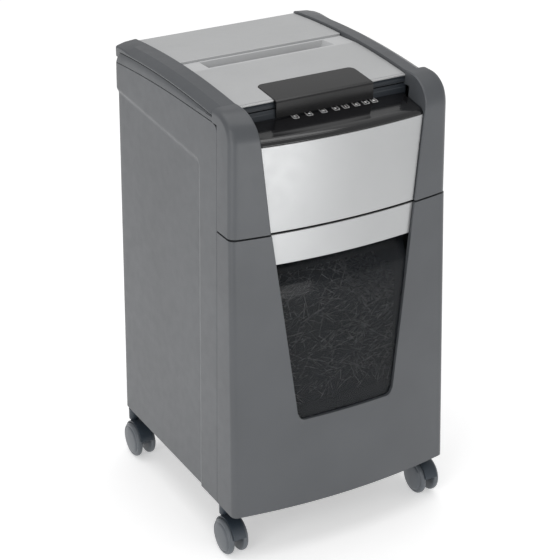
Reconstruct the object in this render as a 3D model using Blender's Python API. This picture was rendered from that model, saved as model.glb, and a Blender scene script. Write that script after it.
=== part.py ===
"""Paper shredder with automatic feed: cabinet on four casters, lift-up lid over a paper
tray, cutter and feed rollers with their gear train, and a pull-out bin with a window.

Metres, +Z up, +X to the right, front faces -Y.  The origin is on the floor, under the
middle of the object.
"""
import math

import bmesh
import bpy
from mathutils import Matrix, Vector

# ---------------------------------------------------------------- driving dimensions
# Overall
HALF_WIDTH = 0.1925          # half of the body's width at the seam between head and bin
TAPER = 0.0163               # growth of the half width per metre below that seam
BACK_Y = 0.2195              # outer face of the back
FRONT_Y = -0.1887            # front face at the corners, at the seam
FRONT_BULGE = 0.0192         # how far the middle of the front stands ahead of its corners
FRONT_LEAN = 0.0268          # forward lean of the front per metre below the seam
CROWN_Z = 0.7665             # highest line of the lid's rails
HEAD_H = 0.1968              # height of the head, from the seam to that line
WHEEL_R = 0.0305
FLOOR_ROOM = 0.0254          # body's lower edge above the tops of the wheels
BODY_BOTTOM = 2 * WHEEL_R + FLOOR_ROOM
SEAM_Z = CROWN_Z - HEAD_H
SIDE_TOP_Z = CROWN_Z - 0.0285      # upper edge of the side panels at mid depth
SIDE_TOP_DROP = 0.012        # how far that edge falls towards the back
CROWN_DROP = 0.009           # how far the crown falls over CROWN_REACH
CROWN_REACH = 0.18
NIP_Y = BACK_Y - 0.1785      # plane in which the sheets go down
CROWN_Y = NIP_Y - 0.001      # where the crown is highest

# Shells
WALL = 0.003                 # wall of the outer shells
GAP = 0.0003                 # gap between pieces that touch
SEAM = 0.003                 # visible seam between head and bin
CHAMFER = 0.002
PANEL_SPLIT_Y = FRONT_Y + 0.0431   # seam between the front pieces and the side panels
BACK_CORNER_R = 0.018
FRONT_CORNER_R = 0.011
BACK_PANEL_HALF = HALF_WIDTH - 0.0375
BACK_TOP_Z = SIDE_TOP_Z - 0.003
RECESS_DEPTH = 0.0035        # recessed field of each side panel
RECESS_FRONT_Y = PANEL_SPLIT_Y + 0.0576
RECESS_TOP_Z = SIDE_TOP_Z - 0.066
RECESS_SLOPE = 0.012         # length of the recess's sloped border
CHEEK_R = 0.044              # quarter-round top of the cheeks
VENT_ROWS = 6
VENT_LOW_Z = SEAM_Z + 0.0303
VENT_PITCH = 0.012
VENT_H = 0.005
VENT_HALF = BACK_PANEL_HALF - 0.045

# Front opening (fascia, strip and window share one trapezoid)
FRAME_PROUD = 0.005          # the dark frame stands this far ahead of the silver
OPEN_HALF_TOP = HALF_WIDTH - 0.0504    # half width of the opening at the fascia's top
OPEN_HALF_SEAM = HALF_WIDTH - 0.0648   # at the seam
OPEN_HALF_LOW = HALF_WIDTH - 0.1055    # at the window's lower edge
WINDOW_LOW_Z = BODY_BOTTOM + 0.155
WINDOW_CORNER_R = 0.012
WINDOW_T = 0.0025
WINDOW_LAP = 0.006           # the window sheet reaches this far below the opening
STRIP_LOW_Z = SEAM_Z - 0.0537
STRIP_T = 0.004
FASCIA_TOP_Z = CROWN_Z - 0.0575
GRIP_DEPTH = 0.025           # finger recess behind the silver strip
GRIP_RUNOUT = 0.040          # height over which that recess fades out below the strip
GRIP_LAP = 0.004             # the recess is at full depth from this far below the strip
CAVITY_INNER_X = OPEN_HALF_TOP + 0.0079    # hollow in the back of each cheek
CAVITY_OUTER_X = HALF_WIDTH - 0.0095
CAVITY_FRONT_Y = FRONT_Y + 0.0047
CAVITY_TOP_Z = SIDE_TOP_Z - 0.030

# Lid
LID_FRONT_Y = FRONT_Y + 0.0587
LID_BACK_Y = BACK_Y
LID_WEB_Z = CROWN_Z - 0.0265           # underside of the lid
LID_WEB = 0.003
RAIL_OUTER = HALF_WIDTH - 0.006
LEDGE_X = RAIL_OUTER - 0.0078          # inboard of this the lid is deep, outboard it lies on the rim
LID_PANEL_HALF = RAIL_OUTER - 0.0385   # half width of the silver panels
LID_PANEL_SINK = 0.004       # silver panels lie this far below the rails
LID_PANEL_T = 0.003
LID_STEP = 0.001             # the front panel lies this much lower than the rear one
LID_LINE_DROP = 0.0135       # the lid's outer lower edge lies this far below the crown
HINGE_Y = BACK_Y - 0.011
HINGE_Z = CROWN_Z - 0.0185
HINGE_PIN_R = 0.003
PIN_HOLE_R = HINGE_PIN_R + GAP
EAR_R = 0.0062
EAR_ROOM = 0.0006
RIM_END_Y = HINGE_Y - EAR_R - EAR_ROOM
RIM_REAR_TOP_Z = SIDE_TOP_Z - 0.0035
SLOT_HALF = LID_PANEL_HALF - 0.033     # manual feed slot, for an A4 sheet by its short edge
SLOT_FRONT_Y = NIP_Y - 0.020
SLOT_BACK_Y = NIP_Y + 0.020
SLOT_NARROW = 0.012          # half depth of the funnel's lower end
SLOT_SINK = 0.0045           # funnel's upper face below the rear panel
THROAT_WALL = 0.003
HANDLE_HALF = LID_PANEL_HALF - 0.063
HANDLE_FRONT_Y = LID_FRONT_Y - 0.008
HANDLE_BACK_Y = LID_FRONT_Y + 0.056
HANDLE_T = 0.004
HANDLE_LIP_Z = CROWN_Z - 0.0365

# Control panel
CONTROL_BACK_Y = LID_FRONT_Y - 0.0035
CONTROL_BACK_Z = CROWN_Z - 0.0415
CONTROL_FRONT_Z = FASCIA_TOP_Z + 0.009
CONTROL_BROW = 0.016         # depth of the roll at the panel's front

# Paper tray and pressure plate
TRAY_HALF = LID_PANEL_HALF - 0.0075
TRAY_FRONT_Y = LID_FRONT_Y + 0.012
TRAY_BACK_Y = BACK_Y - 0.0235
TRAY_FLOOR_Z = LID_WEB_Z - 0.040
TRAY_FLOOR_T = 0.004
TRAY_WALL = 0.0025
FEED_SLOT_HALF = SLOT_HALF + 0.004
FEED_SLOT_HALF_Y = 0.013
PLATE_Z = TRAY_FLOOR_Z + 0.015         # underside of the pressure plate at rest
PLATE_T = 0.003
PLATE_HALF = TRAY_HALF - 0.0125
PLATE_FRONT_Y = TRAY_FRONT_Y + 0.021
PLATE_BACK_Y = TRAY_BACK_Y - 0.019
PLATE_CORNER_R = 0.010
POST_R = 0.004
POST_INSET_X = 0.028
POST_FRONT_INSET = 0.037
POST_BACK_INSET = 0.027

# Mechanism
GEAR_MODULE = 0.002
CUTTER_TEETH = 17
IDLER_TEETH = 16
ROLLER_TEETH = 12
DRIVE_TEETH = 34
LAY_TEETH = 12
FAST_MODULE = 0.0015
REDUCTION_TEETH = 48
MOTOR_TEETH = 12
CUTTER_Z = TRAY_FLOOR_Z - 0.065
CUTTER_SPACING = CUTTER_TEETH * GEAR_MODULE   # distance between the two cutter shafts
FRAME_PLATE_X = HALF_WIDTH - 0.0575    # inner face of the cutter's side plates
FRAME_PLATE_T = 0.004
ROLLER_RISE = 0.055          # height of the roller axes above the cutter axes
ROLLER_SPAN = (CUTTER_TEETH + 2 * IDLER_TEETH + ROLLER_TEETH) * GEAR_MODULE / 2
ROLLER_OUT = CUTTER_SPACING / 2 + math.sqrt(ROLLER_SPAN ** 2 - ROLLER_RISE ** 2)
FRAME_FRONT_Y = NIP_Y - ROLLER_OUT - 0.0336
FRAME_BACK_Y = NIP_Y + ROLLER_OUT + 0.0336
FRAME_SHOULDER_Z = CUTTER_Z + 0.025    # above this the side plates narrow
DISC_R = 0.0200
DISC_T = 0.0060
DISC_COUNT = 11
DISC_PITCH = 2 * (FRAME_PLATE_X - 0.0195) / DISC_COUNT
SPACER_R = 0.0125
JOURNAL_R = 0.006
SHELF_Z = SEAM_Z + 0.0028
SHELF_T = 0.004
SHELF_FRONT_Y = PANEL_SPLIT_Y + 0.0006
SHELF_BACK_Y = BACK_Y - 0.0295
SHELF_OPEN = 0.045           # half depth of the shelf's opening under the cutter
ROLLER_R = 0.012
ROLLER_CORE_R = 0.0045
ROLLER_TYRE = 0.024
ROLLER_TYRE_X = FRAME_PLATE_X - 0.053
GEAR_T = 0.008
GEAR_OFFSET = 0.004          # gap between a side plate and the first gear
IDLER_SHAFT_R = 0.004
LAY_SHAFT_R = 0.005
LAY_Y = NIP_Y + CUTTER_SPACING / 2 + (DRIVE_TEETH + LAY_TEETH) * GEAR_MODULE / 2
MOTOR_Y = LAY_Y + (REDUCTION_TEETH + MOTOR_TEETH) * FAST_MODULE / 2
MOTOR_R = 0.030
MOTOR_LENGTH = 0.105
MOTOR_END_X = FRAME_PLATE_X - 0.007
MOTOR_SHAFT_R = 0.004
MOTOR_FOOT_HALF = 0.024
TIE_R = 0.004
TIE_Z = SHELF_Z + 0.0275
TIE_PLACES = {"tie_rod_front": FRAME_FRONT_Y + 0.014, "tie_rod_rear": FRAME_BACK_Y - 0.014}
RUNNING = 0.00008            # radial clearance of a shaft in its bearing
BORE_SEGMENTS = 16
BOARD_X = -FRAME_PLATE_X + 0.015
BOARD_Y = SHELF_FRONT_Y + 0.010
BOARD_W = 0.100
BOARD_D = 0.080
BOARD_T = 0.0016

# Bin
TUB_HALF = HALF_WIDTH - 0.0145
TUB_FRONT_Y = FRONT_Y + 0.0267
TUB_BACK_Y = BACK_Y - 0.0195
TUB_BOTTOM_Z = BODY_BOTTOM + 0.0106
TUB_TOP_Z = SEAM_Z - 0.0137
TUB_WALL = 0.0025
TUB_OPEN_HALF = OPEN_HALF_SEAM - 0.0077
TUB_OPEN_LOW = WINDOW_LOW_Z - 0.0054
TUB_OPEN_TOP = STRIP_LOW_Z - 0.036

# Base and casters
BASE_Z = BODY_BOTTOM + 0.0005
BASE_T = 0.006
BASE_FRONT_Y = PANEL_SPLIT_Y - 0.0104
CASTER_X = HALF_WIDTH - 0.0075
CASTER_FRONT_Y = FRONT_Y + 0.0253      # wheel axle of the front casters
CASTER_REAR_Y = BACK_Y - 0.0375
CASTER_TRAIL = 0.021
WHEEL_SEGMENTS = 28
WHEEL_INNER_X = 0.0078
WHEEL_T = 0.0102
WHEEL_DOME = 0.0025
HOOD_HALF = 0.0112
HOOD_WEB_HALF = 0.0068
HOOD_R = WHEEL_R + 0.0033
HOOD_T = 0.0026
HOOD_FRONT_ANGLE = 165
HOOD_REAR_ANGLE = 15
STEM_R = 0.0045
AXLE_R = 0.0030
SOCKET_R = 0.0077
SOCKET_DROP = 0.006          # the stem sockets reach this far below the base
SHOULDER_R = 0.0092

# Rear inlet and switch
INLET_X = 0.0725 - HALF_WIDTH
INLET_Z = BODY_BOTTOM + 0.0386
INLET_W = 0.048
INLET_H = 0.034
INLET_T = 0.016
SOCKET_DX = 0.011            # middle of the mains socket from the middle of the inlet
SWITCH_X = INLET_X - 0.0125
SWITCH_W = 0.020
SWITCH_H = 0.026
SWITCH_DEPTH = 0.0030        # tilt axis behind the back's outer face
SWITCH_ROOM = 0.0004
SWITCH_TILT = 8.0            # degrees each way


# ---------------------------------------------------------------- materials
def material(name, colour, roughness, metallic=0.0):
    mat = bpy.data.materials.new(name)
    mat.use_nodes = True
    shader = mat.node_tree.nodes["Principled BSDF"]
    shader.inputs["Base Color"].default_value = (*colour, 1.0)
    shader.inputs["Roughness"].default_value = roughness
    shader.inputs["Metallic"].default_value = metallic
    return mat


PALETTE = {
    "cabinet_plastic": ((0.15, 0.155, 0.16), 0.45, 0.0),
    "silver_plastic": ((0.60, 0.61, 0.61), 0.35, 0.2),
    "black_gloss": ((0.02, 0.02, 0.021), 0.15, 0.0),
    "black_plastic": ((0.03, 0.03, 0.032), 0.5, 0.0),
    "smoked_window": ((0.03, 0.032, 0.035), 0.15, 0.0),
    "cutter_steel": ((0.45, 0.45, 0.46), 0.35, 1.0),
    "plated_steel": ((0.55, 0.56, 0.58), 0.30, 1.0),
    "gear_nylon": ((0.75, 0.74, 0.70), 0.50, 0.0),
    "roller_rubber": ((0.05, 0.05, 0.05), 0.8, 0.0),
    "circuit_green": ((0.02, 0.16, 0.06), 0.5, 0.0),
    "caster_grey": ((0.16, 0.18, 0.20), 0.45, 0.0),
    "caster_hood": ((0.035, 0.048, 0.062), 0.45, 0.0),
}


# ---------------------------------------------------------------- outer surface
def half_width(z):
    """Half width of the body at height z."""
    return HALF_WIDTH + TAPER * (SEAM_Z - z)


def front_y(x, z):
    """Front surface of the dark frame: a shallow arch in plan that leans forward below."""
    lean = FRONT_LEAN * max(SEAM_Z - z, 0.0)
    arch = FRONT_BULGE * (1.0 - (x / half_width(z)) ** 2)
    return FRONT_Y - arch - lean


def crown_z(y):
    """Height of the lid's rails along the depth."""
    return CROWN_Z - CROWN_DROP * ((y - CROWN_Y) / CROWN_REACH) ** 2


def side_top_z(y):
    """Upper edge of the side panels."""
    return SIDE_TOP_Z - SIDE_TOP_DROP * max(y + 0.03, 0.0) ** 2 / (BACK_Y + 0.03) ** 2


def lid_line_z(y):
    """Lower outer edge of the lid, which rests on the rim there."""
    return crown_z(y) - LID_LINE_DROP


def round_off(x, end, radius):
    """Set-back of a rounded edge that ends at end, for a point at x."""
    reach = max(0.0, x - (end - radius))
    return radius - math.sqrt(max(radius ** 2 - reach ** 2, 0.0))


def opening_half(z):
    """Half width of the silver and window trapezoid at height z."""
    if z >= SEAM_Z:
        share = (z - SEAM_Z) / (FASCIA_TOP_Z - SEAM_Z)
        return OPEN_HALF_SEAM + (OPEN_HALF_TOP - OPEN_HALF_SEAM) * share
    share = (SEAM_Z - z) / (SEAM_Z - WINDOW_LOW_Z)
    return OPEN_HALF_SEAM + (OPEN_HALF_LOW - OPEN_HALF_SEAM) * share


# ---------------------------------------------------------------- mesh helpers
def steps(start, end, count):
    """count + 1 evenly spaced values from start to end."""
    return [start + (end - start) * i / count for i in range(count + 1)]


def arc(cx, cy, radius, start, end, count):
    """Points on a circle from start to end degrees."""
    points = []
    for a in steps(math.radians(start), math.radians(end), count):
        points.append((cx + radius * math.cos(a), cy + radius * math.sin(a)))
    return points


def add_object(name, bm, mat, origin=(0, 0, 0), smooth=35.0):
    """Make an object from bm, whose points are relative to origin."""
    bmesh.ops.recalc_face_normals(bm, faces=bm.faces)
    mesh = bpy.data.meshes.new(name)
    bm.to_mesh(mesh)
    bm.free()
    mesh.shade_smooth()
    mesh.set_sharp_from_angle(angle=math.radians(smooth))
    obj = bpy.data.objects.new(name, mesh)
    obj.location = origin
    mesh.materials.append(material(name, *PALETTE[mat]))
    bpy.context.collection.objects.link(obj)
    return obj


def loft_mesh(rings):
    """A closed solid through rings of equal point count; the end rings are capped."""
    bm = bmesh.new()
    loops = [[bm.verts.new(p) for p in ring] for ring in rings]
    for low, high in zip(loops, loops[1:]):
        for i in range(len(low)):
            j = (i + 1) % len(low)
            bm.faces.new((low[i], low[j], high[j], high[i]))
    bm.faces.new(loops[0][::-1])
    bm.faces.new(loops[-1])
    return bm


def prism_mesh(outline, start, end, axis="Z"):
    """A straight extrusion of an outline along one axis."""
    place = {
        "X": lambda u, v, w: (w, u, v),
        "Y": lambda u, v, w: (u, w, v),
        "Z": lambda u, v, w: (u, v, w),
    }[axis]
    rings = [[place(u, v, w) for u, v in outline] for w in (start, end)]
    return loft_mesh(rings)


def turned_mesh(profile, segments, axis="X"):
    """Turn (position, radius) pairs round an axis; both ends close with a cap."""
    place = {
        "X": lambda w, u, v: (w, u, v),
        "Y": lambda w, u, v: (v, w, u),
        "Z": lambda w, u, v: (u, v, w),
    }[axis]
    rings = []
    for w, radius in profile:
        angles = [2 * math.pi * (i + 0.5) / segments for i in range(segments)]
        rings.append([place(w, radius * math.cos(a), radius * math.sin(a)) for a in angles])
    return loft_mesh(rings)


def box_mesh(low, high):
    (x0, y0, z0), (x1, y1, z1) = low, high
    outline = [(x0, y0), (x1, y0), (x1, y1), (x0, y1)]
    return prism_mesh(outline, z0, z1)


def rounded_rect(half_u, half_v, radius, count=4, centre=(0.0, 0.0)):
    cu, cv = centre
    points = []
    corners = ((1, 1, 0), (-1, 1, 90), (-1, -1, 180), (1, -1, 270))
    for su, sv, start in corners:
        middle = (cu + su * (half_u - radius), cv + sv * (half_v - radius))
        points += arc(*middle, radius, start, start + 90, count)
    return points


def combine(obj, bm, operation):
    """Join bm to obj, or cut it away, and keep the result as obj's mesh."""
    bmesh.ops.recalc_face_normals(bm, faces=bm.faces)
    mesh = bpy.data.meshes.new("tool")
    bm.to_mesh(mesh)
    bm.free()
    tool = bpy.data.objects.new("tool", mesh)
    tool.location = obj.location
    bpy.context.collection.objects.link(tool)
    step = obj.modifiers.new("combine", "BOOLEAN")
    step.operation = operation
    step.object = tool
    graph = bpy.context.evaluated_depsgraph_get()
    result = bpy.data.meshes.new_from_object(obj.evaluated_get(graph))
    obj.modifiers.remove(step)
    old = obj.data
    obj.data = result
    result.name = obj.name
    bpy.data.meshes.remove(old)
    bpy.data.objects.remove(tool)
    bpy.data.meshes.remove(mesh)


def cut(obj, bm):
    combine(obj, bm, "DIFFERENCE")


def join(obj, bm):
    combine(obj, bm, "UNION")


def bore_radius(radius, segments):
    """Corner radius of a polygonal hole that clears a round shaft all the way round."""
    return (radius + RUNNING) / math.cos(math.pi / segments)


def bore_mesh(centre, radius, start, end, axis="X"):
    """A cutter for a running hole round a shaft."""
    corner = bore_radius(radius, BORE_SEGMENTS)
    bm = turned_mesh([(start, corner), (end, corner)], BORE_SEGMENTS, axis)
    bmesh.ops.translate(bm, vec=Vector(centre), verts=bm.verts)
    return bm


# ---------------------------------------------------------------- gears
def gear_outline(teeth, module, phase):
    """Spur gear outline whose tooth centre lies at phase radians."""
    pitch_r = teeth * module / 2
    tip_r = pitch_r + 0.80 * module
    root_r = pitch_r - 1.15 * module
    step = 2 * math.pi / teeth
    points = []
    for i in range(teeth):
        middle = phase + i * step
        for radius, share in ((root_r, -0.33), (tip_r, -0.105), (tip_r, 0.105), (root_r, 0.33)):
            a = middle + share * step
            points.append((radius * math.cos(a), radius * math.sin(a)))
    return points


def mesh_phase(teeth_a, phase_a, teeth_b, towards):
    """Phase of gear b so that it meshes with gear a; towards is the angle from a to b."""
    lead = phase_a - towards
    return towards + math.pi + math.pi / teeth_b - lead * teeth_a / teeth_b


def gear_mesh(teeth, module, phase, start, end):
    return prism_mesh(gear_outline(teeth, module, phase), start, end, "X")


# ---------------------------------------------------------------- cabinet
def side_panel(side, name):
    """Side shell with a recessed field, wrapping round the back corner."""
    levels = [
        (BODY_BOTTOM, RECESS_DEPTH),
        (RECESS_TOP_Z - RECESS_SLOPE, RECESS_DEPTH),
        (RECESS_TOP_Z, 0.0),
        (None, 0.0),
    ]
    rings = []
    for z, depth in levels:
        height = SIDE_TOP_Z if z is None else z
        hw = half_width(height)
        field = hw - depth
        corner = (field - BACK_CORNER_R, BACK_Y - BACK_CORNER_R)
        outer = [(hw, PANEL_SPLIT_Y), (hw, RECESS_FRONT_Y), (field, RECESS_FRONT_Y + RECESS_SLOPE)]
        outer += [(field, RECESS_FRONT_Y + 0.10), (field, RECESS_FRONT_Y + 0.19)]
        outer += arc(*corner, BACK_CORNER_R, 0, 90, 6)
        outer += [(BACK_PANEL_HALF + GAP, BACK_Y)]
        deep = hw - RECESS_DEPTH - WALL
        inner_corner = (deep - BACK_CORNER_R + WALL, BACK_Y - BACK_CORNER_R)
        inner = [(BACK_PANEL_HALF + GAP, BACK_Y - WALL)]
        inner += arc(*inner_corner, BACK_CORNER_R - WALL, 90, 0, 6)
        inner += [(deep, PANEL_SPLIT_Y)]
        ring = []
        for x, y in outer + inner:
            level = side_top_z(y) if z is None else z
            ring.append((side * x, y, level))
        rings.append(ring)
    return add_object(name, loft_mesh(rings), "cabinet_plastic")


def back_panel():
    """Flat rear cover with ventilation slots, and an opening for the inlet module."""
    low = (-BACK_PANEL_HALF, BACK_Y - WALL, BODY_BOTTOM)
    bm = box_mesh(low, (BACK_PANEL_HALF, BACK_Y, BACK_TOP_Z))
    obj = add_object("back_panel", bm, "cabinet_plastic")
    for i in range(VENT_ROWS):
        z = VENT_LOW_Z + i * VENT_PITCH
        low = (-VENT_HALF, BACK_Y - 2 * WALL, z)
        high = (VENT_HALF, BACK_Y + WALL, z + VENT_H)
        cut(obj, box_mesh(low, high))
    low = (INLET_X - INLET_W / 2 - GAP, BACK_Y - 2 * WALL, INLET_Z - INLET_H / 2 - GAP)
    high = (INLET_X + INLET_W / 2 + GAP, BACK_Y + WALL, INLET_Z + INLET_H / 2 + GAP)
    cut(obj, box_mesh(low, high))
    return obj


def base_tray():
    """Floor of the cabinet, with four sockets for the caster stems."""
    hw = half_width(BODY_BOTTOM) - RECESS_DEPTH - WALL - GAP
    inner = BACK_CORNER_R - WALL
    outline = [(hw, BASE_FRONT_Y)]
    outline += arc(hw - inner, BACK_Y - WALL - GAP - inner, inner, 0, 90, 6)
    outline += [(-x, y) for x, y in reversed(outline)]
    obj = add_object("base_tray", prism_mesh(outline, BASE_Z, BASE_Z + BASE_T), "black_plastic")
    for x, y in stem_places():
        ends = (BASE_Z - SOCKET_DROP, BASE_Z + 0.010)
        socket = turned_mesh([(z, SOCKET_R) for z in ends], 20, "Z")
        bmesh.ops.translate(socket, vec=Vector((x, y, 0)), verts=socket.verts)
        join(obj, socket)
        cut(obj, bore_mesh((x, y, 0), STEM_R, BASE_Z - 0.02, BASE_Z + 0.007, "Z"))
    return obj


def stem_places():
    places = []
    for y in (CASTER_FRONT_Y, CASTER_REAR_Y):
        for side in (-1, 1):
            places.append((side * CASTER_X, y + CASTER_TRAIL))
    return places


def cheek(side, name):
    """Front corner of the head with its quarter-round top, and the rim along the side."""
    outline = cheek_outline()
    shares = [0.0, 0.0, 0.5, 1.0, 1.0, 1.0, 1.0]
    turns = [0.0, 0.0, 0.0, 0.0, 30.0, 60.0, 90.0]
    rings = []
    for k, (share, turn) in enumerate(zip(shares, turns)):
        ring = []
        for y, z in outline:
            inner = opening_half(z) + GAP + (CHAMFER if k else 0.0)
            hw = half_width(z)
            flat_end = hw - FRONT_CORNER_R
            x = inner + (flat_end - inner) * share + FRONT_CORNER_R * math.sin(math.radians(turn))
            forward = min(1.0, max(0.0, (PANEL_SPLIT_Y - y) / (PANEL_SPLIT_Y - FRONT_Y)))
            upward = max(0.0, (z - SIDE_TOP_Z) / (CROWN_Z - SIDE_TOP_Z))
            arch = FRONT_BULGE * (1.0 - (x / hw) ** 2)
            set_back = round_off(x, hw, FRONT_CORNER_R) + (0.0 if k else CHAMFER)
            ring.append((side * x, y + (set_back - arch) * forward, z - set_back * upward))
        rings.append(ring)
    obj = add_object(name, loft_mesh(rings), "cabinet_plastic")
    low = (CAVITY_INNER_X, CAVITY_FRONT_Y, SEAM_Z + WALL)
    high = (CAVITY_OUTER_X, PANEL_SPLIT_Y + 0.02, CAVITY_TOP_Z)
    cut(obj, box_mesh(*mirrored(side, low, high)))
    join(obj, rim_mesh(side))
    join(obj, ear_mesh(side))
    reach = (LEDGE_X - 0.01, RAIL_OUTER + 0.01)
    hole = turned_mesh([(side * x, PIN_HOLE_R) for x in reach], BORE_SEGMENTS)
    bmesh.ops.translate(hole, vec=Vector((0, HINGE_Y, HINGE_Z)), verts=hole.verts)
    cut(obj, hole)
    return obj


def mirrored(side, low, high):
    """Corners of a box on the right, moved to the chosen side."""
    if side > 0:
        return low, high
    return (-high[0], low[1], low[2]), (-low[0], high[1], high[2])


def cheek_outline():
    """Side view of the cheek, front and top, as (y, z)."""
    top = crown_z(LID_FRONT_Y) + 0.001
    points = [(FRONT_Y, z) for z in steps(SEAM_Z, SEAM_Z + 0.1, 2)]
    points += arc(FRONT_Y + CHEEK_R, top - CHEEK_R, CHEEK_R, 180, 90, 8)
    points += [(LID_FRONT_Y - GAP, top), (LID_FRONT_Y - GAP, SIDE_TOP_Z + GAP)]
    points += [(PANEL_SPLIT_Y, SIDE_TOP_Z + GAP), (PANEL_SPLIT_Y - GAP, SIDE_TOP_Z - 0.018)]
    points += [(PANEL_SPLIT_Y - GAP, SEAM_Z)]
    return points


def rim_mesh(side):
    """Strip between the side panel's upper edge and the lid, back to the hinge ear."""
    rings = []
    for y in steps(LID_FRONT_Y - WALL, RIM_END_Y, 10):
        low = side_top_z(y) + GAP
        high = lid_line_z(max(y, LID_FRONT_Y)) - GAP
        outer = half_width(low)
        section = [(LEDGE_X + GAP, low), (outer, low), (outer - 0.0003, low + 0.006)]
        section += [(RAIL_OUTER + 0.0006, high - 0.001), (RAIL_OUTER, high), (LEDGE_X + GAP, high)]
        rings.append([(side * x, y, z) for x, z in section])
    return loft_mesh(rings)


def ear_mesh(side):
    """Hinge ear: a disc round the pin on a foot that runs down to the side panel."""
    foot = side_top_z(RIM_END_Y) + 0.0012
    front = RIM_END_Y - 0.004
    outline = [(front, foot), (BACK_Y - 0.004, foot - 0.001), (BACK_Y - 0.005, RIM_REAR_TOP_Z)]
    outline += arc(HINGE_Y, HINGE_Z, EAR_R, -30, 210, 12)
    outline += [(front, RIM_REAR_TOP_Z)]
    outer = half_width(SIDE_TOP_Z) - 0.002
    return prism_mesh(outline, side * (LEDGE_X + GAP), side * outer, "X")


def head_fascia():
    """Silver front of the head."""
    return front_shell(
        "head_fascia", "silver_plastic", steps(SEAM_Z, FASCIA_TOP_Z, 4), FRAME_PROUD, WALL)


def front_shell(name, mat, heights, sink, thick, set_back=None, columns=12):
    """A curved sheet between the dark frame's edges; sink is its depth behind the frame."""
    rings = []
    for z in heights:
        half = opening_half(z) - GAP
        back = set_back(z) if set_back else 0.0
        outer = []
        inner = []
        for x in steps(-half, half, columns):
            y = front_y(x, z) + sink + back
            outer.append((x, y, z))
            inner.append((x, y + thick, z))
        rings.append(outer + inner[::-1])
    return add_object(name, loft_mesh(rings), mat)


def control_panel():
    """Glossy panel that slopes from the lid's front edge and rolls over the fascia."""
    rings = []
    for share in steps(-1.0, 1.0, 12):
        front = front_y(share * OPEN_HALF_TOP, SEAM_Z) + FRAME_PROUD + 0.001
        back = CONTROL_BACK_Y
        brow = front + CONTROL_BROW
        low = FASCIA_TOP_Z + GAP
        section = [(back, CONTROL_BACK_Z), (brow, CONTROL_FRONT_Z)]
        section += [(front + 0.006, CONTROL_FRONT_Z - 0.003), (front, low + 0.002), (front, low)]
        section += [(front + WALL, low), (brow, CONTROL_FRONT_Z - 0.005), (back, CONTROL_BACK_Z - WALL)]
        rings.append([(share * (opening_half(z) - GAP), y, z) for y, z in section])
    return add_object("control_panel", loft_mesh(rings), "black_gloss")


def mech_shelf():
    """Shelf that carries the mechanism over the bin, open under the cutter."""
    hw = HALF_WIDTH - RECESS_DEPTH - WALL - GAP
    outline = [(-hw, SHELF_FRONT_Y), (hw, SHELF_FRONT_Y), (hw, SHELF_BACK_Y), (-hw, SHELF_BACK_Y)]
    obj = add_object("mechanism_shelf", prism_mesh(outline, SHELF_Z, SHELF_Z + SHELF_T), "plated_steel")
    low = (-FRAME_PLATE_X + 0.004, NIP_Y - SHELF_OPEN, SHELF_Z - 0.01)
    high = (FRAME_PLATE_X - 0.004, NIP_Y + SHELF_OPEN, SHELF_Z + 0.02)
    cut(obj, box_mesh(low, high))
    return obj


def feed_bed():
    """Paper tray: floor with the feed slot and six roller windows, inside low walls."""
    floor = TRAY_FLOOR_Z - TRAY_FLOOR_T
    rim = LID_WEB_Z - 0.002
    obj = add_object(
        "feed_tray",
        box_mesh((-TRAY_HALF, TRAY_FRONT_Y, floor), (TRAY_HALF, TRAY_BACK_Y, rim)), "black_plastic")
    low = (-TRAY_HALF + TRAY_WALL, TRAY_FRONT_Y + TRAY_WALL, TRAY_FLOOR_Z)
    high = (TRAY_HALF - TRAY_WALL, TRAY_BACK_Y - TRAY_WALL, rim + 0.01)
    cut(obj, box_mesh(low, high))
    below = floor - 0.01
    above = TRAY_FLOOR_Z + 0.01
    low = (-FEED_SLOT_HALF, NIP_Y - FEED_SLOT_HALF_Y, below)
    high = (FEED_SLOT_HALF, NIP_Y + FEED_SLOT_HALF_Y, above)
    cut(obj, box_mesh(low, high))
    for y in roller_places():
        for x in (-ROLLER_TYRE_X, 0.0, ROLLER_TYRE_X):
            low = (x - ROLLER_TYRE / 2 - 0.002, y - ROLLER_R - 0.0015, below)
            high = (x + ROLLER_TYRE / 2 + 0.002, y + ROLLER_R + 0.0015, above)
            cut(obj, box_mesh(low, high))
    return obj


def cutter_places():
    return (NIP_Y - CUTTER_SPACING / 2, NIP_Y + CUTTER_SPACING / 2)


def roller_places():
    return (NIP_Y - ROLLER_OUT, NIP_Y + ROLLER_OUT)


def idler_place(side):
    """Centre (y, z) of an idler; side is -1 for the front one, 1 for the rear one."""
    share = (CUTTER_TEETH + IDLER_TEETH) * GEAR_MODULE / 2 / ROLLER_SPAN
    half = CUTTER_SPACING / 2
    y = NIP_Y + side * (half + (ROLLER_OUT - half) * share)
    return y, CUTTER_Z + ROLLER_RISE * share


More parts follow.
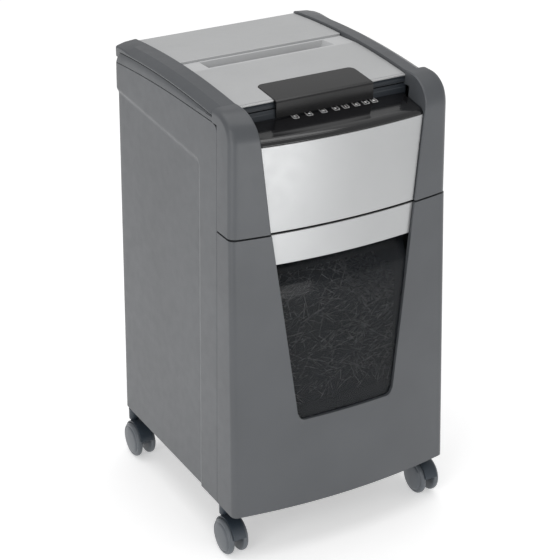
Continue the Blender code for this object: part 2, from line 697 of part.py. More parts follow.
def frame_plate(side, name):
    """Side plate of the cutter unit with bearing holes."""
    start = side * FRAME_PLATE_X
    end = side * (FRAME_PLATE_X + FRAME_PLATE_T)
    low = SHELF_Z + SHELF_T + GAP
    high = TRAY_FLOOR_Z - TRAY_FLOOR_T - GAP
    outline = [(FRAME_FRONT_Y, low), (FRAME_BACK_Y, low), (FRAME_BACK_Y, FRAME_SHOULDER_Z)]
    outline += [(FRAME_BACK_Y - 0.018, high), (FRAME_FRONT_Y + 0.014, high)]
    outline += [(FRAME_FRONT_Y, FRAME_SHOULDER_Z)]
    obj = add_object(name, prism_mesh(outline, start, end, "X"), "plated_steel")
    reach = (side * (FRAME_PLATE_X - 0.01), side * (FRAME_PLATE_X + 0.02))
    for y in cutter_places():
        cut(obj, bore_mesh((0, y, CUTTER_Z), JOURNAL_R, *reach))
    for y in roller_places():
        cut(obj, bore_mesh((0, y, CUTTER_Z + ROLLER_RISE), ROLLER_CORE_R, *reach))
    if side < 0:
        for end_side in (-1, 1):
            y, z = idler_place(end_side)
            cut(obj, bore_mesh((0, y, z), IDLER_SHAFT_R, *reach))
    else:
        cut(obj, bore_mesh((0, LAY_Y, CUTTER_Z), LAY_SHAFT_R, *reach))
    return obj


def tie_rod(name, y):
    end = FRAME_PLATE_X - GAP
    bm = turned_mesh([(-end, TIE_R), (end, TIE_R)], 16)
    return add_object(name, bm, "plated_steel", (0, y, TIE_Z))


def cutter_shaft(name, y, offset, right):
    """Shaft with its stack of cutting discs and spacers, turned in one piece."""
    stack = DISC_PITCH * (DISC_COUNT - 1) / 2 + DISC_T / 2
    end = FRAME_PLATE_X - 0.003
    left = -(FRAME_PLATE_X + FRAME_PLATE_T + GEAR_OFFSET + GEAR_T + 0.001)
    profile = [(left, JOURNAL_R), (-end, JOURNAL_R), (-end, SPACER_R)]
    for i in range(DISC_COUNT):
        x = -stack + i * DISC_PITCH + offset
        profile += [(x, SPACER_R), (x, DISC_R), (x + DISC_T, DISC_R), (x + DISC_T, SPACER_R)]
    profile += [(end, SPACER_R), (end, JOURNAL_R), (right, JOURNAL_R)]
    bm = turned_mesh(profile, 12)
    return add_object(name, bm, "cutter_steel", (0, y, CUTTER_Z))


def gear(name, teeth, module, phase, place, start, end, bore_r, mat="gear_nylon"):
    obj = add_object(name, gear_mesh(teeth, module, phase, start, end), mat, (0, *place))
    if bore_r:
        hole = turned_mesh([(start - 0.01, bore_r), (end + 0.01, bore_r)], BORE_SEGMENTS)
        cut(obj, hole)
    return obj


def press_bore(shaft_r):
    """Corner radius of a gear's bore round its shaft."""
    return (shaft_r + GAP) / math.cos(math.pi / BORE_SEGMENTS)


def mechanism():
    for name, y in TIE_PLACES.items():
        tie_rod(name, y)
    front, rear = cutter_places()
    inner = FRAME_PLATE_X + FRAME_PLATE_T + GEAR_OFFSET
    cutter_shaft("cutter_shaft_front", front, -DISC_PITCH / 4, inner - 0.002)
    cutter_shaft("cutter_shaft_rear", rear, DISC_PITCH / 4, inner + GEAR_T + 0.001)
    left = (-(inner + GEAR_T), -inner)
    rear_phase = 0.0
    front_phase = mesh_phase(CUTTER_TEETH, rear_phase, CUTTER_TEETH, math.pi)
    bore = press_bore(JOURNAL_R)
    gear("cutter_gear_rear", CUTTER_TEETH, GEAR_MODULE, rear_phase, (rear, CUTTER_Z), *left, bore,
         "plated_steel")
    gear("cutter_gear_front", CUTTER_TEETH, GEAR_MODULE, front_phase, (front, CUTTER_Z), *left, bore,
         "plated_steel")
    rise = math.asin(ROLLER_RISE / ROLLER_SPAN)
    starts = {1: (rear_phase, rise, "rear"), -1: (front_phase, math.pi - rise, "front")}
    for side, (phase, towards, word) in starts.items():
        idler_phase = mesh_phase(CUTTER_TEETH, phase, IDLER_TEETH, towards)
        idler = gear("idler_gear_" + word, IDLER_TEETH, GEAR_MODULE, idler_phase, idler_place(side),
                     *left, 0)
        stub = turned_mesh([(-inner - 0.002, IDLER_SHAFT_R), (-FRAME_PLATE_X + 0.002, IDLER_SHAFT_R)],
                           BORE_SEGMENTS)
        join(idler, stub)
        roller_phase = mesh_phase(IDLER_TEETH, idler_phase, ROLLER_TEETH, towards)
        y = roller_places()[0] if side < 0 else roller_places()[1]
        place = (y, CUTTER_Z + ROLLER_RISE)
        gear("roller_gear_" + word, ROLLER_TEETH, GEAR_MODULE, roller_phase, place, *left,
             press_bore(ROLLER_CORE_R))
        feed_roller("feed_roller_" + word, place)
    right = (inner, inner + GEAR_T)
    gear("drive_gear", DRIVE_TEETH, GEAR_MODULE, 0.0, (rear, CUTTER_Z), *right, bore, "plated_steel")
    lay_phase = mesh_phase(DRIVE_TEETH, 0.0, LAY_TEETH, 0.0)
    lay = gear("layshaft", LAY_TEETH, GEAR_MODULE, lay_phase, (LAY_Y, CUTTER_Z), *right, 0,
               "plated_steel")
    fast = (inner + GEAR_T + 0.003, inner + 2 * GEAR_T + 0.003)
    join(lay, turned_mesh([(FRAME_PLATE_X - 0.004, LAY_SHAFT_R), (inner + 0.002, LAY_SHAFT_R)],
                          BORE_SEGMENTS))
    join(lay, turned_mesh([(inner + 0.002, LAY_SHAFT_R), (fast[1] + 0.001, LAY_SHAFT_R)],
                          BORE_SEGMENTS))
    gear("reduction_gear", REDUCTION_TEETH, FAST_MODULE, 0.0, (LAY_Y, CUTTER_Z), *fast,
         press_bore(LAY_SHAFT_R))
    motor_phase = mesh_phase(REDUCTION_TEETH, 0.0, MOTOR_TEETH, 0.0)
    pinion = gear("motor_pinion", MOTOR_TEETH, FAST_MODULE, motor_phase, (MOTOR_Y, CUTTER_Z), *fast, 0,
                  "plated_steel")
    join(pinion, turned_mesh([(MOTOR_END_X - 0.012, MOTOR_SHAFT_R), (fast[0] + 0.002, MOTOR_SHAFT_R)],
                             BORE_SEGMENTS))
    motor_body()


def motor_body():
    """Mains motor: round can with a smaller end bell, on a foot that stands on the shelf."""
    start = MOTOR_END_X - MOTOR_LENGTH
    bell = MOTOR_R - 0.004
    profile = [(start, bell), (start + 0.006, MOTOR_R), (MOTOR_END_X - 0.006, MOTOR_R)]
    profile += [(MOTOR_END_X, bell)]
    place = (0, MOTOR_Y, CUTTER_Z)
    obj = add_object("drive_motor", turned_mesh(profile, 24), "plated_steel", place)
    low = (start + 0.02, -MOTOR_FOOT_HALF, SHELF_Z + SHELF_T + GAP - CUTTER_Z)
    high = (MOTOR_END_X - 0.02, MOTOR_FOOT_HALF, 0.010 - MOTOR_R)
    join(obj, box_mesh(low, high))
    corner = bore_radius(MOTOR_SHAFT_R, BORE_SEGMENTS)
    cut(obj, turned_mesh([(MOTOR_END_X - 0.014, corner), (MOTOR_END_X + 0.01, corner)], BORE_SEGMENTS))
    return obj


def feed_roller(name, place):
    """Roller core with three rubber tyres, running in both side plates."""
    left = -(FRAME_PLATE_X + FRAME_PLATE_T + GEAR_OFFSET + GEAR_T + 0.001)
    right = FRAME_PLATE_X + FRAME_PLATE_T + 0.002
    profile = [(left, ROLLER_CORE_R)]
    for x in (-ROLLER_TYRE_X, 0.0, ROLLER_TYRE_X):
        a, b = x - ROLLER_TYRE / 2, x + ROLLER_TYRE / 2
        profile += [(a, ROLLER_CORE_R), (a, ROLLER_R), (b, ROLLER_R), (b, ROLLER_CORE_R)]
    profile += [(right, ROLLER_CORE_R)]
    return add_object(name, turned_mesh(profile, 16), "roller_rubber", (0, *place))


def circuit_board():
    """Board with its relay, transformer, capacitor and connector blocks."""
    under = SHELF_Z + SHELF_T + GAP
    top = under + BOARD_T
    low = (BOARD_X, BOARD_Y, under)
    obj = add_object("circuit_board", box_mesh(low, (BOARD_X + BOARD_W, BOARD_Y + BOARD_D, top)),
                     "circuit_green")
    parts = ((0.010, 0.010, 0.022, 0.020, 0.016), (0.040, 0.015, 0.012, 0.012, 0.022),
             (0.065, 0.035, 0.018, 0.014, 0.012), (0.020, 0.050, 0.026, 0.012, 0.010))
    for dx, dy, w, d, h in parts:
        x = BOARD_X + dx
        y = BOARD_Y + dy
        join(obj, box_mesh((x, y, top - 0.0005), (x + w, y + d, top + h)))
    return obj


# ---------------------------------------------------------------- lid
def lid_frame():
    """Dark rails, front bar and lower web of the lid, as one moulding."""
    hw = RAIL_OUTER
    inner = LID_PANEL_HALF + GAP
    web = LID_WEB_Z + LID_WEB
    rings = []
    for y in steps(LID_FRONT_Y, LID_BACK_Y, 12):
        top = crown_z(y)
        right = [(inner, web), (inner, top - 0.001), (inner + 0.001, top), (inner + 0.014, top - 0.0008)]
        right += [(hw - 0.014, top - 0.0022), (hw - 0.007, top - 0.005), (hw - 0.002, top - 0.0095)]
        right += [(hw, lid_line_z(y)), (LEDGE_X, lid_line_z(y)), (LEDGE_X, LID_WEB_Z)]
        left = [(-x, z) for x, z in reversed(right)]
        rings.append([(x, y, z) for x, z in left + right])
    obj = add_object("lid_frame", loft_mesh(rings), "cabinet_plastic")
    bar_top = panel_z(LID_FRONT_Y) - LID_STEP - LID_PANEL_T - GAP
    join(obj, box_mesh((-inner - 0.002, LID_FRONT_Y, LID_WEB_Z + 0.001),
                       (inner + 0.002, LID_FRONT_Y + WALL, bar_top)))
    for side in (-1, 1):
        low = (LEDGE_X - 0.0004, RIM_END_Y, LID_WEB_Z - 0.01)
        high = (hw + 0.01, LID_BACK_Y + 0.01, CROWN_Z + 0.01)
        cut(obj, box_mesh(*mirrored(side, low, high)))
        reach = (side * (inner + 0.006), side * (hw + 0.01))
        cut(obj, bore_mesh((0, HINGE_Y, HINGE_Z), HINGE_PIN_R, *reach))
    low = (-SLOT_HALF - THROAT_WALL - GAP, SLOT_FRONT_Y - THROAT_WALL - GAP, LID_WEB_Z - 0.01)
    high = (SLOT_HALF + THROAT_WALL + GAP, SLOT_BACK_Y + THROAT_WALL + GAP, LID_WEB_Z + 0.03)
    cut(obj, box_mesh(low, high))
    for x, y in post_places():
        post = bore_mesh((x, y, 0), POST_R, LID_WEB_Z - 0.01, LID_WEB_Z + 0.01, "Z")
        cut(obj, post)
    return obj


def panel_z(y):
    return crown_z(y) - LID_PANEL_SINK


def lid_panel(name, start, end, step_down):
    """Silver top panel, a crowned sheet with a turned-down skirt at each end."""
    half = LID_PANEL_HALF
    top = []
    low = []
    for y in steps(start, end, 6):
        top.append((y, panel_z(y) - step_down))
        low.append((y, panel_z(y) - step_down - LID_PANEL_T))
    foot = LID_WEB_Z + LID_WEB + GAP
    skirt = 0.003
    outline = top + [(end, foot), (end - skirt, foot)]
    outline += [(end - skirt, low[-1][1])] + low[-2:0:-1]
    lap = start + WALL + GAP if start == LID_FRONT_Y else start
    outline += [(lap + skirt, low[0][1]), (lap + skirt, foot), (lap, foot)]
    if lap > start:
        outline += [(lap, low[0][1]), (start, low[0][1])]
    return add_object(name, prism_mesh(outline, -half, half, "X"), "silver_plastic")


def slot_throat():
    """Funnel of the manual slot, let through the lid, with a flange on the web."""
    top = panel_z(NIP_Y) - SLOT_SINK
    w = THROAT_WALL
    flange = LID_WEB_Z + LID_WEB + GAP
    bm = box_mesh((-LID_PANEL_HALF, SLOT_FRONT_Y - w, flange), (LID_PANEL_HALF, SLOT_BACK_Y + w, top))
    obj = add_object("slot_funnel", bm, "silver_plastic")
    join(obj, box_mesh((-SLOT_HALF - w, SLOT_FRONT_Y - w, LID_WEB_Z),
                       (SLOT_HALF + w, SLOT_BACK_Y + w, flange + 0.002)))
    wide = [(-SLOT_HALF, SLOT_FRONT_Y), (SLOT_HALF, SLOT_FRONT_Y), (SLOT_HALF, SLOT_BACK_Y)]
    wide += [(-SLOT_HALF, SLOT_BACK_Y)]
    narrow = [(x, NIP_Y + (SLOT_NARROW if y > NIP_Y else -SLOT_NARROW)) for x, y in wide]
    levels = ((narrow, LID_WEB_Z - 0.002), (narrow, LID_WEB_Z + 0.002), (wide, top - 0.001),
              (wide, top + 0.004))
    cut(obj, loft_mesh([[(x, y, z) for x, y in outline] for outline, z in levels]))
    return obj


def lid_handle():
    """Glossy grip tab at the lid's front edge, hanging down over the control panel."""
    seat = 0.0022
    rear = panel_z(HANDLE_BACK_Y)
    brow = panel_z(HANDLE_FRONT_Y) - LID_STEP
    under = brow - 0.006
    front = HANDLE_FRONT_Y
    outline = [(HANDLE_BACK_Y, rear + seat), (LID_FRONT_Y, brow + seat + 0.0005)]
    outline += [(front + 0.001, brow + seat - 0.001), (front, brow - 0.003)]
    outline += [(front + 0.001, HANDLE_LIP_Z), (front + HANDLE_T, HANDLE_LIP_Z)]
    outline += [(front + HANDLE_T, under), (LID_FRONT_Y - GAP, under)]
    outline += [(LID_FRONT_Y - GAP, panel_z(LID_FRONT_Y) - LID_STEP + GAP)]
    outline += [(HANDLE_BACK_Y, rear - LID_STEP + GAP)]
    return add_object("lid_handle", prism_mesh(outline, -HANDLE_HALF, HANDLE_HALF, "X"), "black_gloss")


def post_places():
    """Centres of the pressure plate's four guide posts."""
    x = PLATE_HALF - POST_INSET_X
    front = PLATE_FRONT_Y + POST_FRONT_INSET
    rear = PLATE_BACK_Y - POST_BACK_INSET
    return [(-x, front), (-x, rear), (x, front), (x, rear)]


def pressure_plate():
    """Sprung plate that holds the stack on the rollers, with four guide posts."""
    middle = (PLATE_FRONT_Y + PLATE_BACK_Y) / 2
    half_depth = (PLATE_BACK_Y - PLATE_FRONT_Y) / 2
    outline = rounded_rect(PLATE_HALF, half_depth, PLATE_CORNER_R, 4, (0.0, middle))
    obj = add_object("pressure_plate", prism_mesh(outline, PLATE_Z, PLATE_Z + PLATE_T), "black_plastic")
    low = (-SLOT_HALF, NIP_Y - SLOT_NARROW - 0.002, PLATE_Z - 0.01)
    high = (SLOT_HALF, NIP_Y + SLOT_NARROW + 0.002, PLATE_Z + 0.01)
    cut(obj, box_mesh(low, high))
    for x, y in post_places():
        ends = (PLATE_Z + 0.001, LID_WEB_Z + 0.002)
        post = turned_mesh([(z, POST_R) for z in ends], BORE_SEGMENTS, "Z")
        bmesh.ops.translate(post, vec=Vector((x, y, 0)), verts=post.verts)
        join(obj, post)
    return obj


def hinge_pin(side, name):
    start = side * (LID_PANEL_HALF + GAP + 0.007)
    end = side * (RAIL_OUTER - 0.0005)
    bm = turned_mesh([(start, HINGE_PIN_R), (end, HINGE_PIN_R)], BORE_SEGMENTS)
    return add_object(name, bm, "plated_steel", (0, HINGE_Y, HINGE_Z))


# ---------------------------------------------------------------- bin
def bin_front():
    """Dark front of the bin, wrapping round to the side seam, open for strip and window."""
    r = FRONT_CORNER_R
    rings = []
    for z in steps(BODY_BOTTOM, SEAM_Z - SEAM, 6):
        hw = half_width(z)
        face = [(x, front_y(x, z)) for x in steps(r - hw, hw - r, 16)]
        corner_y = front_y(hw - r, z) + r
        right = arc(hw - r, corner_y, r, -90, 0, 5)[1:]
        left = [(-x, y) for x, y in reversed(right)]
        outer = left + face + right
        outer = [(-hw, PANEL_SPLIT_Y - GAP)] + outer + [(hw, PANEL_SPLIT_Y - GAP)]
        inner = []
        for x, y in outer[1:-1]:
            inner.append((x * (hw - WALL) / hw, y + WALL))
        inner = [(-hw + WALL, PANEL_SPLIT_Y - GAP)] + inner + [(hw - WALL, PANEL_SPLIT_Y - GAP)]
        rings.append([(x, y, z) for x, y in outer + inner[::-1]])
    obj = add_object("bin_front", loft_mesh(rings), "cabinet_plastic")
    above = 0.02
    low_half = OPEN_HALF_LOW
    spread = (OPEN_HALF_SEAM - low_half) / (SEAM_Z - WINDOW_LOW_Z)
    r = WINDOW_CORNER_R
    outline = [(OPEN_HALF_SEAM + above * spread, SEAM_Z + above)]
    outline += [(low_half + 0.001, WINDOW_LOW_Z + r)]
    outline += arc(low_half - r, WINDOW_LOW_Z + r, r, 0, -90, 5)[1:]
    outline += [(-x, z) for x, z in reversed(outline)]
    cut(obj, prism_mesh(outline, FRONT_Y - 0.1, PANEL_SPLIT_Y - 0.001, "Y"))
    return obj


def bin_strip():
    """Silver strip over the grip recess."""
    return front_shell(
        "bin_strip", "silver_plastic", [STRIP_LOW_Z, SEAM_Z - SEAM], FRAME_PROUD, STRIP_T)


def grip_set_back(z):
    """Depth of the finger recess in the window sheet at height z."""
    full = STRIP_LOW_Z - GRIP_LAP
    if z >= full:
        return GRIP_DEPTH
    share = max(0.0, (z - (full - GRIP_RUNOUT)) / GRIP_RUNOUT)
    return GRIP_DEPTH * share ** 1.6


def bin_window():
    """Smoked window whose top curves back behind the strip as a finger recess."""
    full = STRIP_LOW_Z - GRIP_LAP
    start = full - GRIP_RUNOUT
    heights = steps(WINDOW_LOW_Z - WINDOW_LAP, start - GRIP_LAP, 4)
    heights += steps(start, full, 6)
    heights += steps(full + 0.028, SEAM_Z - SEAM, 1)
    return front_shell(
        "bin_window", "smoked_window", heights, WALL + GAP, WINDOW_T, grip_set_back)


def bin_tub():
    """Open-topped bin behind the front, with an opening behind the window."""
    obj = add_object(
        "bin_tub",
        box_mesh((-TUB_HALF, TUB_FRONT_Y, TUB_BOTTOM_Z), (TUB_HALF, TUB_BACK_Y, TUB_TOP_Z)),
        "black_plastic")
    w = TUB_WALL
    cut(obj, box_mesh((-TUB_HALF + w, TUB_FRONT_Y + w, TUB_BOTTOM_Z + w),
                      (TUB_HALF - w, TUB_BACK_Y - w, TUB_TOP_Z + 0.02)))
    cut(obj, box_mesh((-TUB_OPEN_HALF, TUB_FRONT_Y - 0.02, TUB_OPEN_LOW),
                      (TUB_OPEN_HALF, TUB_FRONT_Y + 0.02, TUB_OPEN_TOP)))
    return obj


# ---------------------------------------------------------------- inlet and switch
def inlet_module():
    """Mains inlet and switch frame let into the back panel."""
    low = (INLET_X - INLET_W / 2, BACK_Y - INLET_T, INLET_Z - INLET_H / 2)
    high = (INLET_X + INLET_W / 2, BACK_Y, INLET_Z + INLET_H / 2)
    obj = add_object("inlet_module", box_mesh(low, high), "black_plastic")
    outline = rounded_rect(0.0090, 0.0115, 0.003, 3, (INLET_X + SOCKET_DX, INLET_Z))
    cut(obj, prism_mesh(outline, BACK_Y - 0.012, BACK_Y + 0.01, "Y"))
    half_w = SWITCH_W / 2 + SWITCH_ROOM
    half_h = SWITCH_H / 2 + SWITCH_ROOM
    low = (SWITCH_X - half_w, BACK_Y - 0.0125, INLET_Z - half_h)
    high = (SWITCH_X + half_w, BACK_Y + 0.01, INLET_Z + half_h)
    cut(obj, box_mesh(low, high))
    return obj


def power_switch():
    """Rocker that tilts about an axis along X."""
    half = SWITCH_H / 2 - 2 * SWITCH_ROOM
    outline = [(-0.007, -0.004), (-0.007, 0.004), (-0.0035, half - 0.002), (0.0004, half)]
    outline += [(-0.0016, 0.0), (0.0004, -half), (-0.0035, -half + 0.002)]
    tilt = Matrix.Rotation(math.radians(SWITCH_TILT), 4, "X")
    bm = prism_mesh(outline, -SWITCH_W / 2, SWITCH_W / 2, "X")
    bmesh.ops.transform(bm, matrix=tilt, verts=bm.verts)
    return add_object("power_switch", bm, "black_gloss", (SWITCH_X, BACK_Y - SWITCH_DEPTH, INLET_Z))


# ---------------------------------------------------------------- casters
def caster(word, x, y):
    """Twin-wheel caster: hood with stem, axle, two wheels."""
    stem_top = BASE_Z + 0.006
    axle_z = WHEEL_R * math.cos(math.pi / WHEEL_SEGMENTS)
    outer = arc(0, 0, HOOD_R, HOOD_FRONT_ANGLE, HOOD_REAR_ANGLE, 14)
    inner = arc(0, 0, HOOD_R - HOOD_T, HOOD_REAR_ANGLE, HOOD_FRONT_ANGLE, 14)
    shell = prism_mesh(outer + inner, -HOOD_HALF, HOOD_HALF, "X")
    obj = add_object("caster_hood_" + word, shell, "caster_hood", (x, y, axle_z))
    web = arc(0, 0, HOOD_R - HOOD_T / 2, HOOD_FRONT_ANGLE, HOOD_REAR_ANGLE, 10)
    web += [(0.012, -0.010), (-0.010, -0.010)]
    join(obj, prism_mesh(web, -HOOD_WEB_HALF, HOOD_WEB_HALF, "X"))
    neck_low = 0.012
    wide_z = WHEEL_R - 0.0005
    socket_z = BASE_Z - SOCKET_DROP - GAP - axle_z
    profile = [(neck_low, HOOD_WEB_HALF), (wide_z - 0.002, HOOD_WEB_HALF), (wide_z, SHOULDER_R)]
    profile += [(socket_z, SHOULDER_R)]
    shoulder = turned_mesh(profile, 16, "Z")
    bmesh.ops.translate(shoulder, vec=Vector((0, CASTER_TRAIL, 0)), verts=shoulder.verts)
    join(obj, shoulder)
    stem = turned_mesh([(neck_low + 0.004, STEM_R), (stem_top - axle_z, STEM_R)],
                       BORE_SEGMENTS, "Z")
    bmesh.ops.translate(stem, vec=Vector((0, CASTER_TRAIL, 0)), verts=stem.verts)
    join(obj, stem)
    cut(obj, turned_mesh([(-0.02, AXLE_R + GAP), (0.02, AXLE_R + GAP)], BORE_SEGMENTS))
    end = WHEEL_INNER_X + WHEEL_T - 0.003
    axle = turned_mesh([(-end, AXLE_R), (end, AXLE_R)], BORE_SEGMENTS)
    add_object("caster_axle_" + word, axle, "plated_steel", (x, y, axle_z))
    for side, hand in ((-1, "left"), (1, "right")):
        caster_wheel("caster_wheel_%s_%s" % (word, hand), side, (x, y, axle_z))


def caster_wheel(name, side, place):
    """Wheel with a rounded tread and a domed outer cap, bored from the inside."""
    a = WHEEL_INNER_X
    b = WHEEL_INNER_X + WHEEL_T
    profile = [(a, WHEEL_R - 0.002), (a + 0.0025, WHEEL_R), (b - 0.003, WHEEL_R), (b, WHEEL_R - 0.0015)]
    profile += [(b + 0.0014, WHEEL_R - 0.010), (b + WHEEL_DOME, 0.008)]
    profile = [(side * w, r) for w, r in profile]
    obj = add_object(name, turned_mesh(profile, WHEEL_SEGMENTS), "caster_grey", place)
    corner = bore_radius(AXLE_R, BORE_SEGMENTS)
    cut(obj, turned_mesh([(side * (a - 0.005), corner), (side * (b - 0.002), corner)], BORE_SEGMENTS))
    return obj


# ---------------------------------------------------------------- assembly
def main():
    for obj in list(bpy.data.objects):
        bpy.data.objects.remove(obj)
    side_panel(-1, "side_panel_left")
    side_panel(1, "side_panel_right")
    back_panel()
    base_tray()
    cheek(-1, "head_cheek_left")
    cheek(1, "head_cheek_right")
    head_fascia()
    control_panel()
    mech_shelf()
    feed_bed()
    frame_plate(-1, "cutter_plate_left")
    frame_plate(1, "cutter_plate_right")
    mechanism()
    circuit_board()
    hinge_pin(-1, "hinge_pin_left")
    hinge_pin(1, "hinge_pin_right")
    lid_frame()
    lid_panel("lid_panel_rear", SLOT_BACK_Y + THROAT_WALL + GAP, LID_BACK_Y - 0.0005, 0.0)
    lid_panel("lid_panel_front", LID_FRONT_Y, SLOT_FRONT_Y - THROAT_WALL - GAP, 0.001)
    slot_throat()
    lid_handle()
    pressure_plate()
    bin_front()
    bin_strip()
    bin_window()
    bin_tub()
    inlet_module()
    power_switch()
    for row, y in (("front", CASTER_FRONT_Y), ("rear", CASTER_REAR_Y)):
        for side, hand in ((-1, "left"), (1, "right")):
            caster("%s_%s" % (row, hand), side * CASTER_X, y)


main()
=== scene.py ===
"""Looks of the paper shredder: shells, lid, bin with its shreds, casters and finishes."""
import math
import random

import bmesh
import bpy
from mathutils import Matrix, Vector


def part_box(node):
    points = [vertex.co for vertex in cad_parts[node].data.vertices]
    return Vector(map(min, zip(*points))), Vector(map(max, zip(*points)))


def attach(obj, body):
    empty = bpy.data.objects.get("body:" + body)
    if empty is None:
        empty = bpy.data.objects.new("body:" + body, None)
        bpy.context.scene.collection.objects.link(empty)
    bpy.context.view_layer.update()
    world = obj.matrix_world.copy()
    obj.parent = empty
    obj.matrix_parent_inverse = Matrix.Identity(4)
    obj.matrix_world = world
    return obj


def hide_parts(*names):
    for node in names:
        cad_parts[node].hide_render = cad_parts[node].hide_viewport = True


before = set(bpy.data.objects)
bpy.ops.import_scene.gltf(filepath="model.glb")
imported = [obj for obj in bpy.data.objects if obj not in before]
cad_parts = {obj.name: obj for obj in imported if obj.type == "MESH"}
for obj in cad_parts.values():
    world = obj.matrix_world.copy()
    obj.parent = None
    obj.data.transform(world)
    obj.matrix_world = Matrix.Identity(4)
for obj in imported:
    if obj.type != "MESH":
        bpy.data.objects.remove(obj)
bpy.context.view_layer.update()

# ------------ sizes, from the frame
LOW = 0
HIGH = 1
SEAM_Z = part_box("head_fascia")[LOW].z
FASCIA_TOP_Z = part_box("head_fascia")[HIGH].z
BODY_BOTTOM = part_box("side_panel_left")[LOW].z
SIDE_TOP_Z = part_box("side_panel_left")[HIGH].z
PANEL_SPLIT_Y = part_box("side_panel_left")[LOW].y
BACK_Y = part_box("back_panel")[HIGH].y
STRIP_LOW_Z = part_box("bin_strip")[LOW].z
BIN_TOP_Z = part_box("bin_strip")[HIGH].z
LID_FRONT_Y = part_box("lid_frame")[LOW].y
LID_BACK_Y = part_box("lid_frame")[HIGH].y
LID_WEB_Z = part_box("lid_frame")[LOW].z
CROWN_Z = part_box("lid_frame")[HIGH].z
RAIL_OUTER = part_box("lid_frame")[HIGH].x
LID_PANEL_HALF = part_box("lid_panel_rear")[HIGH].x

# Shape of the shells, as the frame's own surfaces run
HALF_WIDTH = 0.1925  # at the seam between head and bin
TAPER = 0.0163  # gain in half width for each metre below the seam
FRONT_Y = -0.1887  # front face at its two outer corners
FRONT_BULGE = 0.0192  # middle of the front, before its corners
FRONT_LEAN = 0.0268  # forward lean of the bin for each metre below the seam
FRONT_CORNER_R = 0.011
BACK_CORNER_R = 0.018
SIDE_CORNER_R = 0.012  # top front corner of the side panels
SIDE_TOP_DROP = 0.012  # fall of the side panels' upper edge towards the back
CROWN_DROP = 0.009  # fall of the lid at CROWN_REACH from its highest line
CROWN_REACH = 0.18
CROWN_Y = 0.040  # highest line of the lid
WALL = 0.003
GAP = 0.0003  # clearance between pieces that touch
JOINT = 0.0008  # visible joint between two shells
OPEN_HALF_TOP = 0.1421  # half widths of the trapezoid at the fascia's top,
OPEN_HALF_SEAM = 0.1277  # at the seam
OPEN_HALF_LOW = 0.0870  # and at the window's lower edge
WINDOW_LOW_Z = 0.2414
WINDOW_CORNER_R = 0.012
FRAME_PROUD = 0.005  # dark frame, before the silver
LID_LINE_DROP = 0.0135  # lower edge of the lid under its crown
LEDGE_X = 0.1787  # the rim's ledge, on which the lid lies
RIM_END_Y = 0.2017  # the rim ends here, before the hinges
EDGE = 0.0007  # usual rounding of a moulded edge
AHEAD_Y = -0.30  # well before the body, where cutting tools start


# ------------ materials
def fill(node, values):
    """Set a shader node's inputs by name."""
    for name, value in values.items():
        node.inputs[name].default_value = value


class Nodes:
    """A node material under construction."""

    def __init__(self, name, colour, roughness, metallic=0.0):
        self.mat = bpy.data.materials.new(name)
        self.mat.use_nodes = True
        self.tree = self.mat.node_tree
        self.shader = self.tree.nodes["Principled BSDF"]
        fill(self.shader, {"Base Color": (*colour, 1.0), "Roughness": roughness,
                           "Metallic": metallic})
        self.coords = self.add("ShaderNodeTexCoord").outputs["Object"]

    def add(self, kind):
        return self.tree.nodes.new(kind)

    def link(self, source, target):
        self.tree.links.new(source, target)

    def noise(self, scale, detail=2.0, stretch=(1, 1, 1)):
        """Noise in metres of the piece itself; stretch above 1 packs it along that axis."""
        place = self.add("ShaderNodeMapping")
        fill(place, {"Scale": stretch})
        texture = self.add("ShaderNodeTexNoise")
        fill(texture, {"Scale": scale, "Detail": detail})
        self.link(self.coords, place.inputs["Vector"])
        self.link(place.outputs["Vector"], texture.inputs["Vector"])
        return texture.outputs["Fac"]

    def spread(self, value, low, high):
        """Map noise, which stays near a half, onto the range from low to high."""
        ranged = self.add("ShaderNodeMapRange")
        fill(ranged, {"From Min": 0.3, "From Max": 0.7, "To Min": low, "To Max": high})
        self.link(value, ranged.inputs["Value"])
        return ranged.outputs["Result"]

    def tint(self, value, dark, light):
        """Base colour between two tones."""
        ramp = self.add("ShaderNodeValToRGB")
        for i, position, colour in ((0, 0.35, dark), (1, 0.65, light)):
            ramp.color_ramp.elements[i].position = position
            ramp.color_ramp.elements[i].color = (*colour, 1.0)
        self.link(value, ramp.inputs["Fac"])
        self.link(ramp.outputs["Color"], self.shader.inputs["Base Color"])

    def bump(self, value, depth, distance=0.0002):
        bump = self.add("ShaderNodeBump")
        fill(bump, {"Strength": depth, "Distance": distance})
        self.link(value, bump.inputs["Height"])
        self.link(bump.outputs["Normal"], self.shader.inputs["Normal"])


def shade(colour, factor):
    """A colour made darker or lighter."""
    return tuple(min(1.0, c * factor) for c in colour)


def moulded(name, colour, roughness, grain=2600.0, depth=0.12, vary=0.05, coat=0.0, metallic=0.0):
    """Moulded or painted plastic: fine grain, slow tone and gloss variation."""
    made = Nodes(name, colour, roughness, metallic)
    slow = made.noise(9.0, 3.0)
    made.tint(slow, shade(colour, 1 - vary), shade(colour, 1 + vary))
    made.link(made.spread(made.noise(60.0), roughness * 0.9, roughness * 1.1),
              made.shader.inputs["Roughness"])
    made.bump(made.noise(grain, 3.0), depth)
    if coat:
        fill(made.shader, {"Coat Weight": coat, "Coat Roughness": 0.05})
    return made.mat


def brushed(name, colour, roughness, stretch):
    """Metal with fine lines along one axis."""
    made = Nodes(name, colour, roughness, 1.0)
    lines = made.noise(900.0, 2.0, stretch)
    made.tint(made.noise(25.0), shade(colour, 0.88), shade(colour, 1.08))
    made.link(made.spread(lines, roughness * 0.75, roughness * 1.3), made.shader.inputs["Roughness"])
    made.bump(lines, 0.15, 0.0001)
    return made.mat


